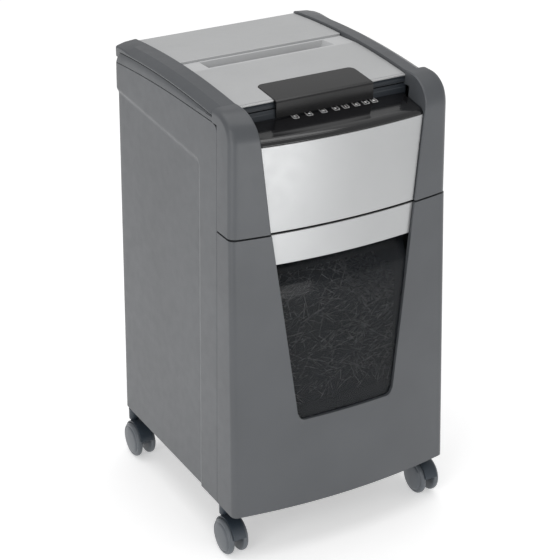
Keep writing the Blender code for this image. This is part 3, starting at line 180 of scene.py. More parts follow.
def smoked(name):
    """Smoked see-through plastic."""
    made = Nodes(name, (0.020, 0.023, 0.026), 0.10)
    fill(made.shader, {"Alpha": 0.50, "Specular IOR Level": 0.28, "IOR": 1.49})
    made.link(made.spread(made.noise(40.0), 0.07, 0.14), made.shader.inputs["Roughness"])
    made.tint(made.noise(7.0), (0.009, 0.011, 0.013), (0.013, 0.015, 0.018))
    return made.mat


def paper(name, dark, light):
    """Shredded office paper with printed grey patches; with near-black tones it gives the packed
    mass, whose darkness is painted shade.
    """
    made = Nodes(name, light, 0.85)
    made.tint(made.noise(120.0, 4.0), dark, light)
    made.bump(made.noise(1500.0), 0.2)
    return made.mat


CHARCOAL = (0.074, 0.079, 0.086)
M = {
    "charcoal": moulded("charcoal_plastic", CHARCOAL, 0.36),
    "silver": moulded("silver_paint", (0.425, 0.431, 0.435), 0.32, 3800.0, 0.05, 0.02, 0.0, 0.70),
    "top_silver": moulded("silver_satin", (0.53, 0.536, 0.54), 0.40, 3800.0, 0.05, 0.02, 0.0, 0.45),
    "ramp": moulded("silver_matt", (0.54, 0.545, 0.55), 0.50, 3800.0, 0.05, 0.02, 0.0, 0.05),
    "gloss": moulded("gloss_black", (0.008, 0.008, 0.009), 0.12, 700.0, 0.01, 0.1, 0.3),
    "black": moulded("matt_black", (0.022, 0.023, 0.025), 0.55, 2000.0, 0.2),
    # darker blue-black copy of the charcoal for the walls under the lid's front edge: painted shade
    # of that recess
    "recess": moulded("recess_blue_black", (0.028, 0.034, 0.042), 0.40, 2000.0, 0.12),
    "smoked": smoked("smoked_window"),
    "caster": moulded("caster_grey", (0.095, 0.106, 0.119), 0.36, 1800.0, 0.08),
    "hood": moulded("caster_blue_black", (0.026, 0.036, 0.048), 0.42, 1800.0, 0.10),
    "rubber": moulded("roller_rubber", (0.030, 0.030, 0.031), 0.80, 1200.0, 0.4),
    "nylon": moulded("gear_nylon", (0.68, 0.66, 0.60), 0.45, 1600.0, 0.1),
    "board": moulded("circuit_board", (0.015, 0.13, 0.05), 0.40, 900.0, 0.2, 0.25),
    "steel": brushed("plated_steel", (0.50, 0.51, 0.53), 0.30, (0.05, 1, 1)),
    "cutter": brushed("cutter_steel", (0.36, 0.36, 0.37), 0.34, (1, 0.2, 1)),
    "tab": moulded("handle_gloss", (0.010, 0.010, 0.0105), 0.24, 700.0, 0.01, 0.1),
    "symbol": moulded("white_print", (0.85, 0.85, 0.85), 0.5, 900.0, 0.02, 0.02),
    "paper": paper("shredded_paper", (0.14, 0.14, 0.145), (0.85, 0.85, 0.85)),
    # the packed shreds' near-black tones are painted shade inside the bin, not the paper's own colour
    "mass": paper("packed_paper", (0.007, 0.008, 0.009), (0.016, 0.017, 0.019)),
}
NODE_FINISH = {  # material of each node, by how its name starts
    "steel": ("mechanism_shelf", "cutter_plate", "tie_rod", "cutter_gear", "drive_gear", "layshaft",
              "motor_pinion", "drive_motor", "hinge_pin", "caster_axle"),
    "cutter": ("cutter_shaft",),
    "nylon": ("idler_gear", "roller_gear", "reduction_gear"),
    "rubber": ("feed_roller",),
    "black": ("base_tray", "feed_tray", "pressure_plate", "bin_tub", "inlet_module", "slot_funnel"),
    "board": ("circuit_board",),
    "gloss": ("power_switch", "lid_handle", "control_panel"),
    "charcoal": ("side_panel", "back_panel", "head_cheek", "lid_frame", "bin_front"),
    "silver": ("head_fascia", "lid_panel", "bin_strip"),
    "smoked": ("bin_window",),
    "caster": ("caster_wheel",),
    "hood": ("caster_hood",),
}


def finish_nodes():
    """Give every CAD node a full material, also those that a finer piece stands for."""
    for key, starts in NODE_FINISH.items():
        for name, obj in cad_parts.items():
            if name.startswith(starts):
                put_material(obj, M[key])


def put_material(obj, mat):
    obj.data.materials.clear()
    obj.data.materials.append(mat)


# ------------ outer surface
def half_width(z):
    return HALF_WIDTH + TAPER * (SEAM_Z - z)


def front_y(x, z):
    """Front surface of the dark frame: a shallow arch in plan that leans forward below."""
    lean = FRONT_LEAN * max(SEAM_Z - z, 0.0)
    arch = FRONT_BULGE * (1.0 - (x / half_width(z)) ** 2)
    return FRONT_Y - arch - lean


def crown_z(y):
    return CROWN_Z - CROWN_DROP * ((y - CROWN_Y) / CROWN_REACH) ** 2


def side_top_z(y):
    return SIDE_TOP_Z - SIDE_TOP_DROP * max(y + 0.03, 0.0) ** 2 / (BACK_Y + 0.03) ** 2


def lid_line_z(y):
    """Lower edge of the lid's outer walls."""
    return crown_z(y) - LID_LINE_DROP


def opening_half(z):
    """Half width of the silver and window trapezoid at height z."""
    if z >= SEAM_Z:
        share = (z - SEAM_Z) / (FASCIA_TOP_Z - SEAM_Z)
        return OPEN_HALF_SEAM + (OPEN_HALF_TOP - OPEN_HALF_SEAM) * share
    share = (SEAM_Z - z) / (SEAM_Z - WINDOW_LOW_Z)
    return OPEN_HALF_SEAM + (OPEN_HALF_LOW - OPEN_HALF_SEAM) * share


def smooth(t):
    t = min(1.0, max(0.0, t))
    return t * t * (3 - 2 * t)


def round_off(x, end, radius):
    """Set-back of a rounded edge that ends at end, for a point at x."""
    reach = max(0.0, x - (end - radius))
    return radius - math.sqrt(max(radius ** 2 - reach ** 2, 0.0))


def steps(start, end, count):
    """Even steps from start to end, both included."""
    return [start + (end - start) * i / count for i in range(count + 1)]


def arc(cx, cy, radius, start, end, count):
    """Points of an arc between two angles in degrees."""
    points = []
    for a in steps(math.radians(start), math.radians(end), count):
        points.append((cx + radius * math.cos(a), cy + radius * math.sin(a)))
    return points


# ------------ pieces
SIDES = ((-1, "left"), (1, "right"))


def new_object(name, data):
    obj = bpy.data.objects.new(name, data)
    bpy.context.collection.objects.link(obj)
    return obj


def piece(name, bm, mat, body, replaces=(), edge=EDGE, wall=0.0, angle=35.0):
    """Finish a mesh as a visible piece: wall thickness, rounded edges, material and body."""
    mesh = bpy.data.meshes.new(name)
    if not wall:
        bmesh.ops.recalc_face_normals(bm, faces=bm.faces)
    bm.to_mesh(mesh)
    bm.free()
    mesh.shade_smooth()
    mesh.materials.append(M[mat])
    obj = new_object(name, mesh)
    if wall:
        shell = obj.modifiers.new("wall", "SOLIDIFY")
        shell.thickness = wall
        shell.offset = -1
        shell.use_even_offset = True
    if edge:
        bevel = obj.modifiers.new("edge", "BEVEL")
        bevel.width = edge
        bevel.segments = 3
        bevel.limit_method = "ANGLE"
        bevel.angle_limit = math.radians(angle)
        bevel.harden_normals = True
    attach(obj, body)
    if replaces:
        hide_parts(*replaces)


def sheet_mesh(rows):
    """An open surface through rows of points."""
    bm = bmesh.new()
    grid = [[bm.verts.new(p) for p in row] for row in rows]
    for low, high in zip(grid, grid[1:]):
        for i in range(len(low) - 1):
            bm.faces.new((low[i], low[i + 1], high[i + 1], high[i]))
    return bm


def loft_mesh(rings):
    """A closed solid through rings of equal point count."""
    bm = bmesh.new()
    loops = [[bm.verts.new(p) for p in ring] for ring in rings]
    for low, high in zip(loops, loops[1:]):
        for i in range(len(low)):
            j = (i + 1) % len(low)
            bm.faces.new((low[i], low[j], high[j], high[i]))
    bm.faces.new(loops[0][::-1])
    bm.faces.new(loops[-1])
    return bm


def prism_mesh(outline, start, end, axis="Z"):
    place = {
        "X": lambda u, v, w: (w, u, v),
        "Y": lambda u, v, w: (u, w, v),
        "Z": lambda u, v, w: (u, v, w),
    }[axis]
    return loft_mesh([[place(u, v, w) for u, v in outline] for w in (start, end)])


def turned_mesh(profile, segments, axis="X", centre=(0, 0, 0)):
    """Turn (position, radius) pairs round an axis through centre."""
    place = {
        "X": lambda w, u, v: (w, u, v),
        "Y": lambda w, u, v: (v, w, u),
        "Z": lambda w, u, v: (u, v, w),
    }[axis]
    rings = []
    for w, radius in profile:
        angles = [2 * math.pi * i / segments for i in range(segments)]
        rings.append([place(w, radius * math.cos(a), radius * math.sin(a)) for a in angles])
    bm = loft_mesh(rings)
    bmesh.ops.translate(bm, vec=Vector(centre), verts=bm.verts)
    return bm


def box_mesh(low, high):
    (x0, y0, z0), (x1, y1, z1) = low, high
    return prism_mesh([(x0, y0), (x1, y0), (x1, y1), (x0, y1)], z0, z1)


def rounded(half_u, half_v, radius, count=6, centre=(0.0, 0.0)):
    cu, cv = centre
    points = []
    for su, sv, start in ((1, 1, 0), (-1, 1, 90), (-1, -1, 180), (1, -1, 270)):
        middle = (cu + su * (half_u - radius), cv + sv * (half_v - radius))
        points += arc(*middle, radius, start, start + 90, count)
    return points


def combined(target, tool, operation="DIFFERENCE"):
    """Cut tool out of target, or join it on; both are bmeshes, and the result is a bmesh."""
    objects = []
    for bm in (target, tool):
        bmesh.ops.recalc_face_normals(bm, faces=bm.faces)
        mesh = bpy.data.meshes.new("step")
        bm.to_mesh(mesh)
        bm.free()
        objects.append(new_object("step", mesh))
    step = objects[0].modifiers.new("step", "BOOLEAN")
    step.operation = operation
    step.object = objects[1]
    graph = bpy.context.evaluated_depsgraph_get()
    result = bmesh.new()
    evaluated = objects[0].evaluated_get(graph)
    result.from_mesh(evaluated.to_mesh())
    for obj in objects:
        mesh = obj.data
        bpy.data.objects.remove(obj)
        bpy.data.meshes.remove(mesh)
    return result


def mirror_x(bm, side):
    if side < 0:
        bmesh.ops.scale(bm, vec=(-1, 1, 1), verts=bm.verts)
        bmesh.ops.reverse_faces(bm, faces=bm.faces)
    return bm


# ------------ side panels
RECESS_DEPTH = 0.0035
RECESS_FRONT_Y = -0.091
RECESS_TOP_Z = 0.6715
RECESS_RISE = 0.065  # the recess's top border climbs towards the back
RECESS_CORNER_R = 0.016
RECESS_SLOPE = 0.010  # width of the field's soft border
PLAIN_TOP_Z = 0.640  # below this the field is plain
BORDER_HEIGHTS = (0.644, 0.696)  # heights that the field's top border crosses
BAND_Z = 0.700  # above this the panel follows its falling upper edge
BORDER_REACH = (0.0415, 0.070)  # distances from the front seam round the front border
CORNER_REACH = 0.03  # depth over which the top front corner's rounding fades
BACK_PANEL_HALF = 0.155

VENT_ROWS = 6
VENT_COLUMNS = 5
VENT_LOW_Z = 0.600
VENT_PITCH = 0.012
VENT_H = 0.005
VENT_W = 0.042
VENT_HALF = 0.110  # half width of the whole vent field
CUT_DEPTH = 0.02  # reach of the tools that cut through the back cover
SCREW_R = 0.0032
SCREW_HEIGHTS = (0.105, 0.33, 0.56, 0.715)
SCREW_PLACES = [(x, z) for x in (-0.142, 0.142) for z in SCREW_HEIGHTS]


def recess_depth(y, z):
    """Depth of the side panel's field at (y, z), with a rounded corner and a soft border."""
    r = RECESS_CORNER_R
    along = y - RECESS_FRONT_Y
    down = RECESS_TOP_Z + RECESS_RISE * y - z
    if along < r and down < r:
        inside = r - math.hypot(r - along, r - down)
    else:
        inside = min(along, down)
    return RECESS_DEPTH * smooth(inside / RECESS_SLOPE)


def side_panel(side, word):
    """Side shell with its recessed field, round back corner and rounded top front corner."""
    arc_r = BACK_CORNER_R
    levels = steps(BODY_BOTTOM, PLAIN_TOP_Z, 24) + steps(*BORDER_HEIGHTS, 26)
    levels += steps(BAND_Z, SIDE_TOP_Z, 14)
    flat = steps(0.0, 0.040, 12) + steps(*BORDER_REACH, 19) + steps(0.080, 0.34, 26)
    rows = []
    for z in levels:
        hw = half_width(z)
        lift = round_off(z, SIDE_TOP_Z, SIDE_CORNER_R)
        row = []
        for s in flat:
            start = PANEL_SPLIT_Y + lift * max(0.0, 1 - s / CORNER_REACH)
            y = start + s
            if y < BACK_Y - arc_r - 0.002:
                row.append((hw - recess_depth(y, z), y))
        field = hw - recess_depth(BACK_Y - arc_r, z)
        row += arc(field - arc_r, BACK_Y - arc_r, arc_r, 0, 90, 14)
        row += [(x, BACK_Y) for x in steps(field - arc_r - 0.002, BACK_PANEL_HALF + 2 * GAP, 3)]
        top_share = max(0.0, z - BAND_Z) / (SIDE_TOP_Z - BAND_Z)
        rows.append([(x, y, z - top_share * (SIDE_TOP_Z - side_top_z(y))) for x, y in row])
    bm = mirror_x(sheet_mesh(rows), side)
    piece("side_shell_" + word, bm, "charcoal", "cabinet", ["side_panel_" + word],
          0.0009, WALL)


def back_cover():
    """Rear cover with rounded vent slots, the cut-out of the inlet and eight sunk screws."""
    bm = box_mesh(*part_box("back_panel"))
    for i in range(VENT_ROWS):
        z = VENT_LOW_Z + i * VENT_PITCH + VENT_H / 2
        for x in steps(-VENT_HALF + VENT_W / 2, VENT_HALF - VENT_W / 2, VENT_COLUMNS - 1):
            slot = rounded(VENT_W / 2 - 0.003, VENT_H / 2, VENT_H / 2 - 0.0001, 5, (x, z))
            bm = combined(bm, prism_mesh(slot, BACK_Y - CUT_DEPTH, BACK_Y + CUT_DEPTH, "Y"))
    low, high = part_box("inlet_module")
    bm = combined(bm, box_mesh((low.x - GAP, BACK_Y - CUT_DEPTH, low.z - GAP),
                               (high.x + GAP, BACK_Y + CUT_DEPTH, high.z + GAP)))
    for x, z in SCREW_PLACES:
        sink = turned_mesh([(-0.002, SCREW_R + 0.001), (0.002, SCREW_R + 0.001)], 24, "Y",
                           (x, BACK_Y, z))
        bm = combined(bm, sink)
    piece("back_cover", bm, "charcoal", "cabinet", ["back_panel"], 0.0005)
    for x, z in SCREW_PLACES:
        screw(x, z)


def screw(x, z):
    """Pan head screw with a cross recess."""
    head = turned_mesh([(-0.0015, SCREW_R), (-0.0009, SCREW_R), (-0.0003, SCREW_R * 0.7)], 24, "Y",
                       (x, BACK_Y, z))
    for w, h in ((0.0007, 0.0022), (0.0022, 0.0007)):
        head = combined(head, box_mesh((x - w, BACK_Y - 0.0009, z - h),
                                       (x + w, BACK_Y + 0.001, z + h)))
    name = "back_screw_%s_%d" % ("left" if x < 0 else "right", SCREW_HEIGHTS.index(z))
    piece(name, head, "steel", "cabinet", (), 0.0)


# ------------ head
CHAMFER = 0.002  # inner edge of the cheeks, beside the silver
CHEEK_R = 0.044  # quarter round at the top of the cheeks
RIM_REAR_TOP_Z = 0.7345  # top of the rim behind the rails
HINGE_Y = 0.2085
HINGE_Z = 0.748
PIN_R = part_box("hinge_pin_left")[HIGH].y - HINGE_Y
PIN_END_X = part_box("hinge_pin_right")[HIGH].x
BORE_START_X = 0.17  # the pin's bore starts inside the lid
BORE_ROOM = 0.0003
EAR_R = 0.0045
EAR_OUTER = LEDGE_X + 0.0025  # the hinge ears stand inside the rails' outer walls
EAR_ROOM = 0.0004  # between an ear and the rail round it
RAIL_END_R = 0.0124  # rounded rear end of a rail round the hinge
RAIL_END_ROOM = 0.0006  # between that end and the rim
RAIL_END_CUT = (0.15, 0.22)  # reach of the tool that makes this room
KNUCKLE_TOP_Z = HINGE_Z + 0.0002
KNUCKLE_ARC = (180, 329)  # degrees round the hinge, under it
CONTROL_BACK_Y = -0.1335
CONTROL_BACK_Z = 0.725
CONTROL_FRONT_Z = 0.718
CONTROL_RUN = 0.045  # depth of the control panel's slope
CONTROL_INSET = 0.001  # control panel, behind the silver
BROW_DEPTH = 0.016
RIB = 0.00055  # depth of the fine ribs under the brow
KEY_PLACES = (-0.054, -0.030, -0.005, 0.017, 0.034, 0.053, 0.070, 0.085)
KEY_HALF = 0.0048
KEY_STRETCH = 1.3  # keys are deeper than wide
KEY_Y = -0.1395
KEY_CORNER_R = 0.0014
KEY_LINE = 0.0006  # width of the printed frame's line


def bar(u0, v0, u1, v1):
    """Upright rectangle of a key's symbol, in half sizes of the key."""
    return [(u0, v0), (u1, v0), (u1, v1), (u0, v1)]


RING = [(0.45 * math.cos(a), 0.45 * math.sin(a)) for a in steps(0.0, 1.83 * math.pi, 14)]
RING += [(0.28 * math.cos(a), 0.28 * math.sin(a)) for a in steps(1.83 * math.pi, 0.0, 14)]
SYMBOLS = (
    [RING, bar(-0.07, 0.1, 0.07, 0.6)],
    [[(0.45, -0.5), (0.45, 0.5), (-0.45, 0.0)]],
    [bar(-0.45, -0.45, -0.15, 0.45), bar(0.1, -0.45, 0.4, 0.45)],
    [[(-0.45, -0.5), (0.45, 0.0), (-0.45, 0.5)]],
    [bar(-0.12, -0.5, 0.12, 0.5)],
    [[(-0.5, -0.4), (0.5, -0.4), (0.0, 0.5)]],
    [[(0.0, -0.5), (0.5, 0.0), (0.0, 0.5), (-0.5, 0.0)]],
    [bar(-0.45, -0.4, 0.4, 0.35)],
)


def cheek(side, word):
    """Front corner of the head with its quarter-round top and chamfered inner edge."""
    top = crown_z(LID_FRONT_Y) + 0.001
    outline = [(FRONT_Y, z) for z in steps(SEAM_Z, top - CHEEK_R - 0.004, 14)]
    outline += arc(FRONT_Y + CHEEK_R, top - CHEEK_R, CHEEK_R, 180, 90, 24)
    outline += [(LID_FRONT_Y - 0.0009, top), (LID_FRONT_Y - 0.0009, SIDE_TOP_Z + GAP)]
    outline += [(PANEL_SPLIT_Y, SIDE_TOP_Z + GAP), (PANEL_SPLIT_Y - JOINT, SIDE_TOP_Z - 0.018)]
    outline += [(PANEL_SPLIT_Y - JOINT, SEAM_Z)]
    shares = [0.0, 0.0] + steps(0.15, 1.0, 8) + [1.0] * 10
    turns = [0.0] * 11 + steps(9.0, 90.0, 9)
    rings = []
    for k, (share, turn) in enumerate(zip(shares, turns)):
        ring = []
        for y, z in outline:
            inner = opening_half(z) + GAP + (CHAMFER if k else 0.0)
            hw = half_width(z)
            flat_end = hw - FRONT_CORNER_R
            x = inner + (flat_end - inner) * share + FRONT_CORNER_R * math.sin(math.radians(turn))
            forward = min(1.0, max(0.0, (PANEL_SPLIT_Y - y) / (PANEL_SPLIT_Y - FRONT_Y)))
            upward = max(0.0, (z - SIDE_TOP_Z) / (CROWN_Z - SIDE_TOP_Z))
            arch = FRONT_BULGE * (1.0 - (x / hw) ** 2)
            set_back = round_off(x, hw, FRONT_CORNER_R) + (0.0 if k else CHAMFER)
            ring.append((side * x, y + (set_back - arch) * forward, z - set_back * upward))
        rings.append(ring)
    piece("head_corner_" + word, loft_mesh(rings), "charcoal", "cabinet", ["head_cheek_" + word],
          0.0005)
    rim(side, word)
    hinge_ear(side, word)
    recess_wall(side, word)


def rim(side, word):
    """Strip between the side panel's upper edge and the lid."""
    rings = []
    for y in steps(LID_FRONT_Y - 0.003, RIM_END_Y, 30):
        low = side_top_z(y) + JOINT
        high = lid_line_z(max(y, LID_FRONT_Y)) - JOINT
        outer = half_width(low) - 0.0006
        section = [(LEDGE_X + GAP, low), (outer, low), (outer - 0.0003, low + 0.006)]
        section += [(RAIL_OUTER + 0.0010, high - 0.0012), (RAIL_OUTER, high), (LEDGE_X + GAP, high)]
        rings.append([(side * x, y, z) for x, z in section])
    room = turned_mesh([(side * x, RAIL_END_R + RAIL_END_ROOM) for x in RAIL_END_CUT], 64, "X",
                       (0, HINGE_Y, HINGE_Z))
    bm = combined(loft_mesh(rings), room)
    piece("rim_" + word, bm, "charcoal", "cabinet", ["head_cheek_" + word],
          0.0005)


def hinge_ear(side, word):
    """Rear end of the rim, with the ear that holds the hinge pin."""
    rings = []
    for y in steps(RIM_END_Y - 0.004, BACK_Y - 0.0060, 8):
        low = side_top_z(y) + JOINT
        turned = round_off(y, BACK_Y, BACK_CORNER_R)
        outer = half_width(low) - 0.0006 - turned
        section = [(LEDGE_X + GAP, low), (outer, low)]
        section += [(RAIL_OUTER + 0.0010 - turned, RIM_REAR_TOP_Z - 0.0012),
                    (RAIL_OUTER - turned, RIM_REAR_TOP_Z)]
        rings.append([(side * x, y, z) for x, z in section + [(LEDGE_X + GAP, RIM_REAR_TOP_Z)]])
    front = RIM_END_Y + 0.0005
    outline = [(front, RIM_REAR_TOP_Z - 0.002), (BACK_Y - 0.0072, RIM_REAR_TOP_Z - 0.002)]
    outline += arc(HINGE_Y, HINGE_Z, EAR_R, -30, 180, 28)
    ear = prism_mesh(outline, side * (LEDGE_X + GAP * 2), side * EAR_OUTER, "X")
    piece("hinge_ear_" + word, combined(loft_mesh(rings), ear, "UNION"), "charcoal", "cabinet",
          ["head_cheek_" + word], 0.0004)


def recess_wall(side, word):
    """Ledge of the head behind the control panel, under the front edge of the lid, in the darker
    recess colour: painted shade.
    """
    back, front = LID_FRONT_Y - 0.0007, CONTROL_BACK_Y + 0.0004
    outline = [(front, CONTROL_BACK_Z - 0.002), (back, CONTROL_BACK_Z - 0.002),
               (back, LID_WEB_Z - JOINT), (front + JOINT, LID_WEB_Z - JOINT),
               (front + JOINT, LID_WEB_Z - 0.0060), (front, LID_WEB_Z - 0.0066)]
    bm = prism_mesh(outline, side * 0.0001, side * (LID_PANEL_HALF - 0.0006), "X")
    piece("recess_wall_" + word, bm, "recess", "cabinet", ["head_cheek_" + word],
          0.0003)


def front_sheet(heights, sink, thick, set_back=None, columns=48):
    """A curved sheet between the dark frame's edges; sink is its depth behind the frame."""
    rings = []
    for z in heights:
        half = opening_half(z) - 0.0006
        back = set_back(z) if set_back else 0.0
        outer = [(x, front_y(x, z) + sink + back, z) for x in steps(-half, half, columns)]
        inner = [(x, y + thick, z) for x, y, z in reversed(outer)]
        rings.append(outer + inner)
    return loft_mesh(rings)


def fascia():
    heights = steps(SEAM_Z + 0.0002, FASCIA_TOP_Z - 0.0004, 26)
    piece("silver_fascia", front_sheet(heights, FRAME_PROUD, WALL), "silver", "cabinet",
          ["head_fascia"], 0.0007)


def control_section(front):
    """Side view of the control panel: slope, brow and fine ribs above the fascia."""
    brow = front + BROW_DEPTH
    low = FASCIA_TOP_Z + 0.0004
    rise = CONTROL_FRONT_Z - low
    section = [(CONTROL_BACK_Y, CONTROL_BACK_Z)]
    section += [(CONTROL_BACK_Y + (brow - CONTROL_BACK_Y) * t,
                 CONTROL_BACK_Z + (CONTROL_FRONT_Z - CONTROL_BACK_Z) * t) for t in steps(0.1, 1.0, 6)]
    for i, a in enumerate(steps(0.12, 1.0, 22)):
        turn = a * math.pi / 2
        ribbed = RIB * (i % 2) if a > 0.55 else 0.0
        y = brow - (BROW_DEPTH - ribbed) * math.sin(turn)
        z = low + (rise - ribbed) * math.cos(turn)
        section.append((y, z))
    section += [(front + WALL, low), (brow, CONTROL_FRONT_Z - 0.005)]
    section += [(CONTROL_BACK_Y, CONTROL_BACK_Z - WALL)]
    return section


def control_cover():
    """Glossy control panel across the head, with its touch keys."""
    rings = []
    for share in steps(-1.0, 1.0, 64):
        front = front_y(share * OPEN_HALF_TOP, SEAM_Z) + FRAME_PROUD + CONTROL_INSET
        section = control_section(front)
        rings.append([(share * (opening_half(z) - 0.0006), y, z) for y, z in section])
    piece("control_cover", loft_mesh(rings), "gloss", "cabinet", ["control_panel"],
          0.0, angle=60.0)
    for i, x in enumerate(KEY_PLACES):
        touch_key(i, x)


def control_z(y):
    """Height of the control panel's slope in its middle."""
    brow = front_y(0, SEAM_Z) + FRAME_PROUD + CONTROL_INSET + BROW_DEPTH
    t = (CONTROL_BACK_Y - y) / (CONTROL_BACK_Y - brow)
    return CONTROL_BACK_Z + (CONTROL_FRONT_Z - CONTROL_BACK_Z) * t


def touch_key(index, x):
    """Thin white frame with a plain white symbol, printed on the glossy slope."""
    tilt = math.atan2(CONTROL_FRONT_Z - CONTROL_BACK_Z, CONTROL_RUN)
    place = Matrix.Translation((x, KEY_Y, control_z(KEY_Y) + 0.0002)) @ Matrix.Rotation(-tilt, 4, "X")
    deep = KEY_HALF * KEY_STRETCH
    outer = prism_mesh(rounded(KEY_HALF, deep, KEY_CORNER_R, 4), -0.0002, 0.0002)
    hollow = rounded(KEY_HALF - KEY_LINE, deep - KEY_LINE, KEY_CORNER_R - KEY_LINE, 4)
    outer = combined(outer, prism_mesh(hollow, -0.001, 0.001))
    bmesh.ops.transform(outer, matrix=place, verts=outer.verts)
    name = "touch_key_%d" % (index + 1)
    piece(name, outer, "symbol", "cabinet", (), 0.0)
    for k, shape in enumerate(SYMBOLS[index]):
        mark = prism_mesh([(u * KEY_HALF, v * deep) for u, v in shape], -0.0001, 0.0002)
        bmesh.ops.transform(mark, matrix=place, verts=mark.verts)
        piece("%s_mark_%d" % (name, k + 1), mark, "symbol", "cabinet", (), 0.0)


# ------------ lid
SLOT_HALF = 0.115
SLOT_FRONT_Y = 0.021
SLOT_BACK_Y = 0.061
SLOT_FALL = 0.0025  # fall of the recess towards the rear panel's lip
THROAT_WALL = 0.003
THROAT_FOOT = 0.006  # top of the funnel's foot, above the web's underside
FUNNEL_MOUTHS = (  # half length, front and rear of the funnel, from below upwards
    (0.104, 0.047, 0.0585),
    (0.105, 0.046, 0.0590),
    (0.107, 0.041, 0.0595),
    (0.112, 0.030, 0.0600),
    (SLOT_HALF, SLOT_FRONT_Y + 0.0005, SLOT_BACK_Y),
)
LID_WEB = 0.003  # thickness of the lid's web
LID_PANEL_SINK = 0.004  # silver, under the rails
LID_PANEL_T = 0.003
LID_STEP = 0.001  # front panel, under the rear one
PANEL_ROOM = 0.0006  # between the silver and the dark moulding
PANEL_TRIM = 0.0002
HANDLE_HALF = 0.085
HANDLE_FRONT_Y = -0.138
HANDLE_BACK_Y = -0.074
HANDLE_LIP_Z = 0.7265
HANDLE_CORNER_R = 0.010
HANDLE_PROUD = 0.0008  # tab, above the front panel
HANDLE_ROOM = 0.0007
HANDLE_R = 0.004  # rolled front edge of the tab
HANDLE_T = 0.004
RAIL_REAR_R = 0.010
RAIL_REAR_FALL = 0.25  # fall of a rail's end, as a share of its turn-in
RAIL_LIFT = 0.0035  # the bevel grows narrower towards the hinge
RAIL_LIFT_START_Y = RIM_END_Y - 0.05
RAIL_LIFT_RUN = 0.045
POST_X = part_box("pressure_plate")[HIGH].x - 0.028  # guide posts of the pressure plate
POST_YS = (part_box("pressure_plate")[LOW].y + 0.037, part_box("pressure_plate")[HIGH].y - 0.027)
POST_HOLE_R = 0.0047


def side_box(side, low, high):
    """Box given for the right-hand side, on either side."""
    xs = sorted((side * low[0], side * high[0]))
    return box_mesh((xs[0], low[1], low[2]), (xs[1], high[1], high[2]))


def hinge_end(bm, side):
    """Open a rail over the hinge ear, round its end below and bore it for the pin."""
    bm = combined(bm, side_box(side, (LEDGE_X - EAR_ROOM, RIM_END_Y, LID_WEB_Z - 0.01),
                               (EAR_OUTER + EAR_ROOM, LID_BACK_Y + 0.01,
                                HINGE_Z + EAR_R + 0.0006)))
    under = arc(HINGE_Y, HINGE_Z, RAIL_END_R, *KNUCKLE_ARC, 24)
    outline = [(under[0][0], KNUCKLE_TOP_Z)] + under + [(under[-1][0], KNUCKLE_TOP_Z)]
    knuckle = prism_mesh(outline, side * (EAR_OUTER + EAR_ROOM), side * (RAIL_OUTER - GAP), "X")
    bm = combined(bm, knuckle, "UNION")
    bore = turned_mesh([(side * x, PIN_R + BORE_ROOM) for x in (BORE_START_X, PIN_END_X + 0.0001)],
                       32, "X", (0, HINGE_Y, HINGE_Z))
    return combined(bm, bore)


def lid_rails():
    """Dark lid moulding: web, flat-topped rails with a bevelled outer side."""
    inner = LID_PANEL_HALF + PANEL_ROOM
    web = LID_WEB_Z + LID_WEB
    rings = []
    places = steps(LID_FRONT_Y + 0.0009, LID_BACK_Y - RAIL_REAR_R, 40)
    places += [LID_BACK_Y - RAIL_REAR_R * (1 - math.sin(math.radians(a)))
               for a in steps(12, 90, 8)]
    for y in places:
        turned = round_off(y, LID_BACK_Y, RAIL_REAR_R)
        hw = RAIL_OUTER - turned
        top = crown_z(y) - RAIL_REAR_FALL * turned
        line = lid_line_z(y) + 0.0004
        right = [(inner, web), (inner, top - 0.0008), (inner + 0.0008, top)]
        lift = RAIL_LIFT * smooth((y - RAIL_LIFT_START_Y) / RAIL_LIFT_RUN)
        right += [(hw - 0.0150, top - 0.0018), (hw - 0.0020, top - 0.0088 + lift),
                  (hw, top - 0.0110 + lift), (hw, line)]
        ledge = min(LEDGE_X, hw - 0.0015)
        right += [(ledge, line), (ledge, LID_WEB_Z)]
        left = [(-x, z) for x, z in reversed(right)]
        rings.append([(x, y, z) for x, z in left + right])
    bm = loft_mesh(rings)
    for side in (-1, 1):
        bm = hinge_end(bm, side)
    end_x, end_y = RAIL_OUTER - RAIL_REAR_R, LID_BACK_Y - RAIL_REAR_R
    plan = [(RAIL_OUTER, LID_FRONT_Y - 0.01)] + arc(end_x, end_y, RAIL_REAR_R, 0, 90, 12)
    plan += arc(-end_x, end_y, RAIL_REAR_R, 90, 180, 12) + [(-RAIL_OUTER, LID_FRONT_Y - 0.01)]
    bm = combined(bm, prism_mesh(plan, LID_WEB_Z - 0.02, CROWN_Z + 0.01), "INTERSECT")
    for x in (-POST_X, POST_X):
        for y in POST_YS:
            hole = arc(x, y, POST_HOLE_R, 0, 345, 24)
            bm = combined(bm, prism_mesh(hole, LID_WEB_Z - 0.01, LID_WEB_Z + 0.01))
    w = THROAT_WALL + GAP
    bm = combined(bm, box_mesh((-SLOT_HALF - w, SLOT_FRONT_Y - w, LID_WEB_Z - 0.01),
                               (SLOT_HALF + w, SLOT_BACK_Y + w, LID_WEB_Z + 0.03)))
    piece("lid_moulding", bm, "charcoal", "lid", ["lid_frame"], 0.0007, angle=20.0)


def panel_z(y):
    """Top of the rear silver panel; the front one lies LID_STEP lower."""
    return crown_z(y) - LID_PANEL_SINK


def lid_front_bar():
    """Stepped front face of the lid under the silver panels, in the darker recess colour: painted
    shade.
    """
    half = LID_PANEL_HALF - PANEL_ROOM
    top = panel_z(LID_FRONT_Y) - LID_STEP - LID_PANEL_T - PANEL_ROOM
    front = LID_FRONT_Y
    low = LID_WEB_Z + 0.001
    middle = (top + low) / 2
    outline = [(front + 0.0006, top), (front + 0.0014, middle + 0.0008), (front, middle - 0.0008),
               (front, low), (front + WALL, low), (front + WALL, top)]
    piece("lid_front_bar", prism_mesh(outline, -half, half, "X"), "recess", "lid", ["lid_frame"],
          0.0005)


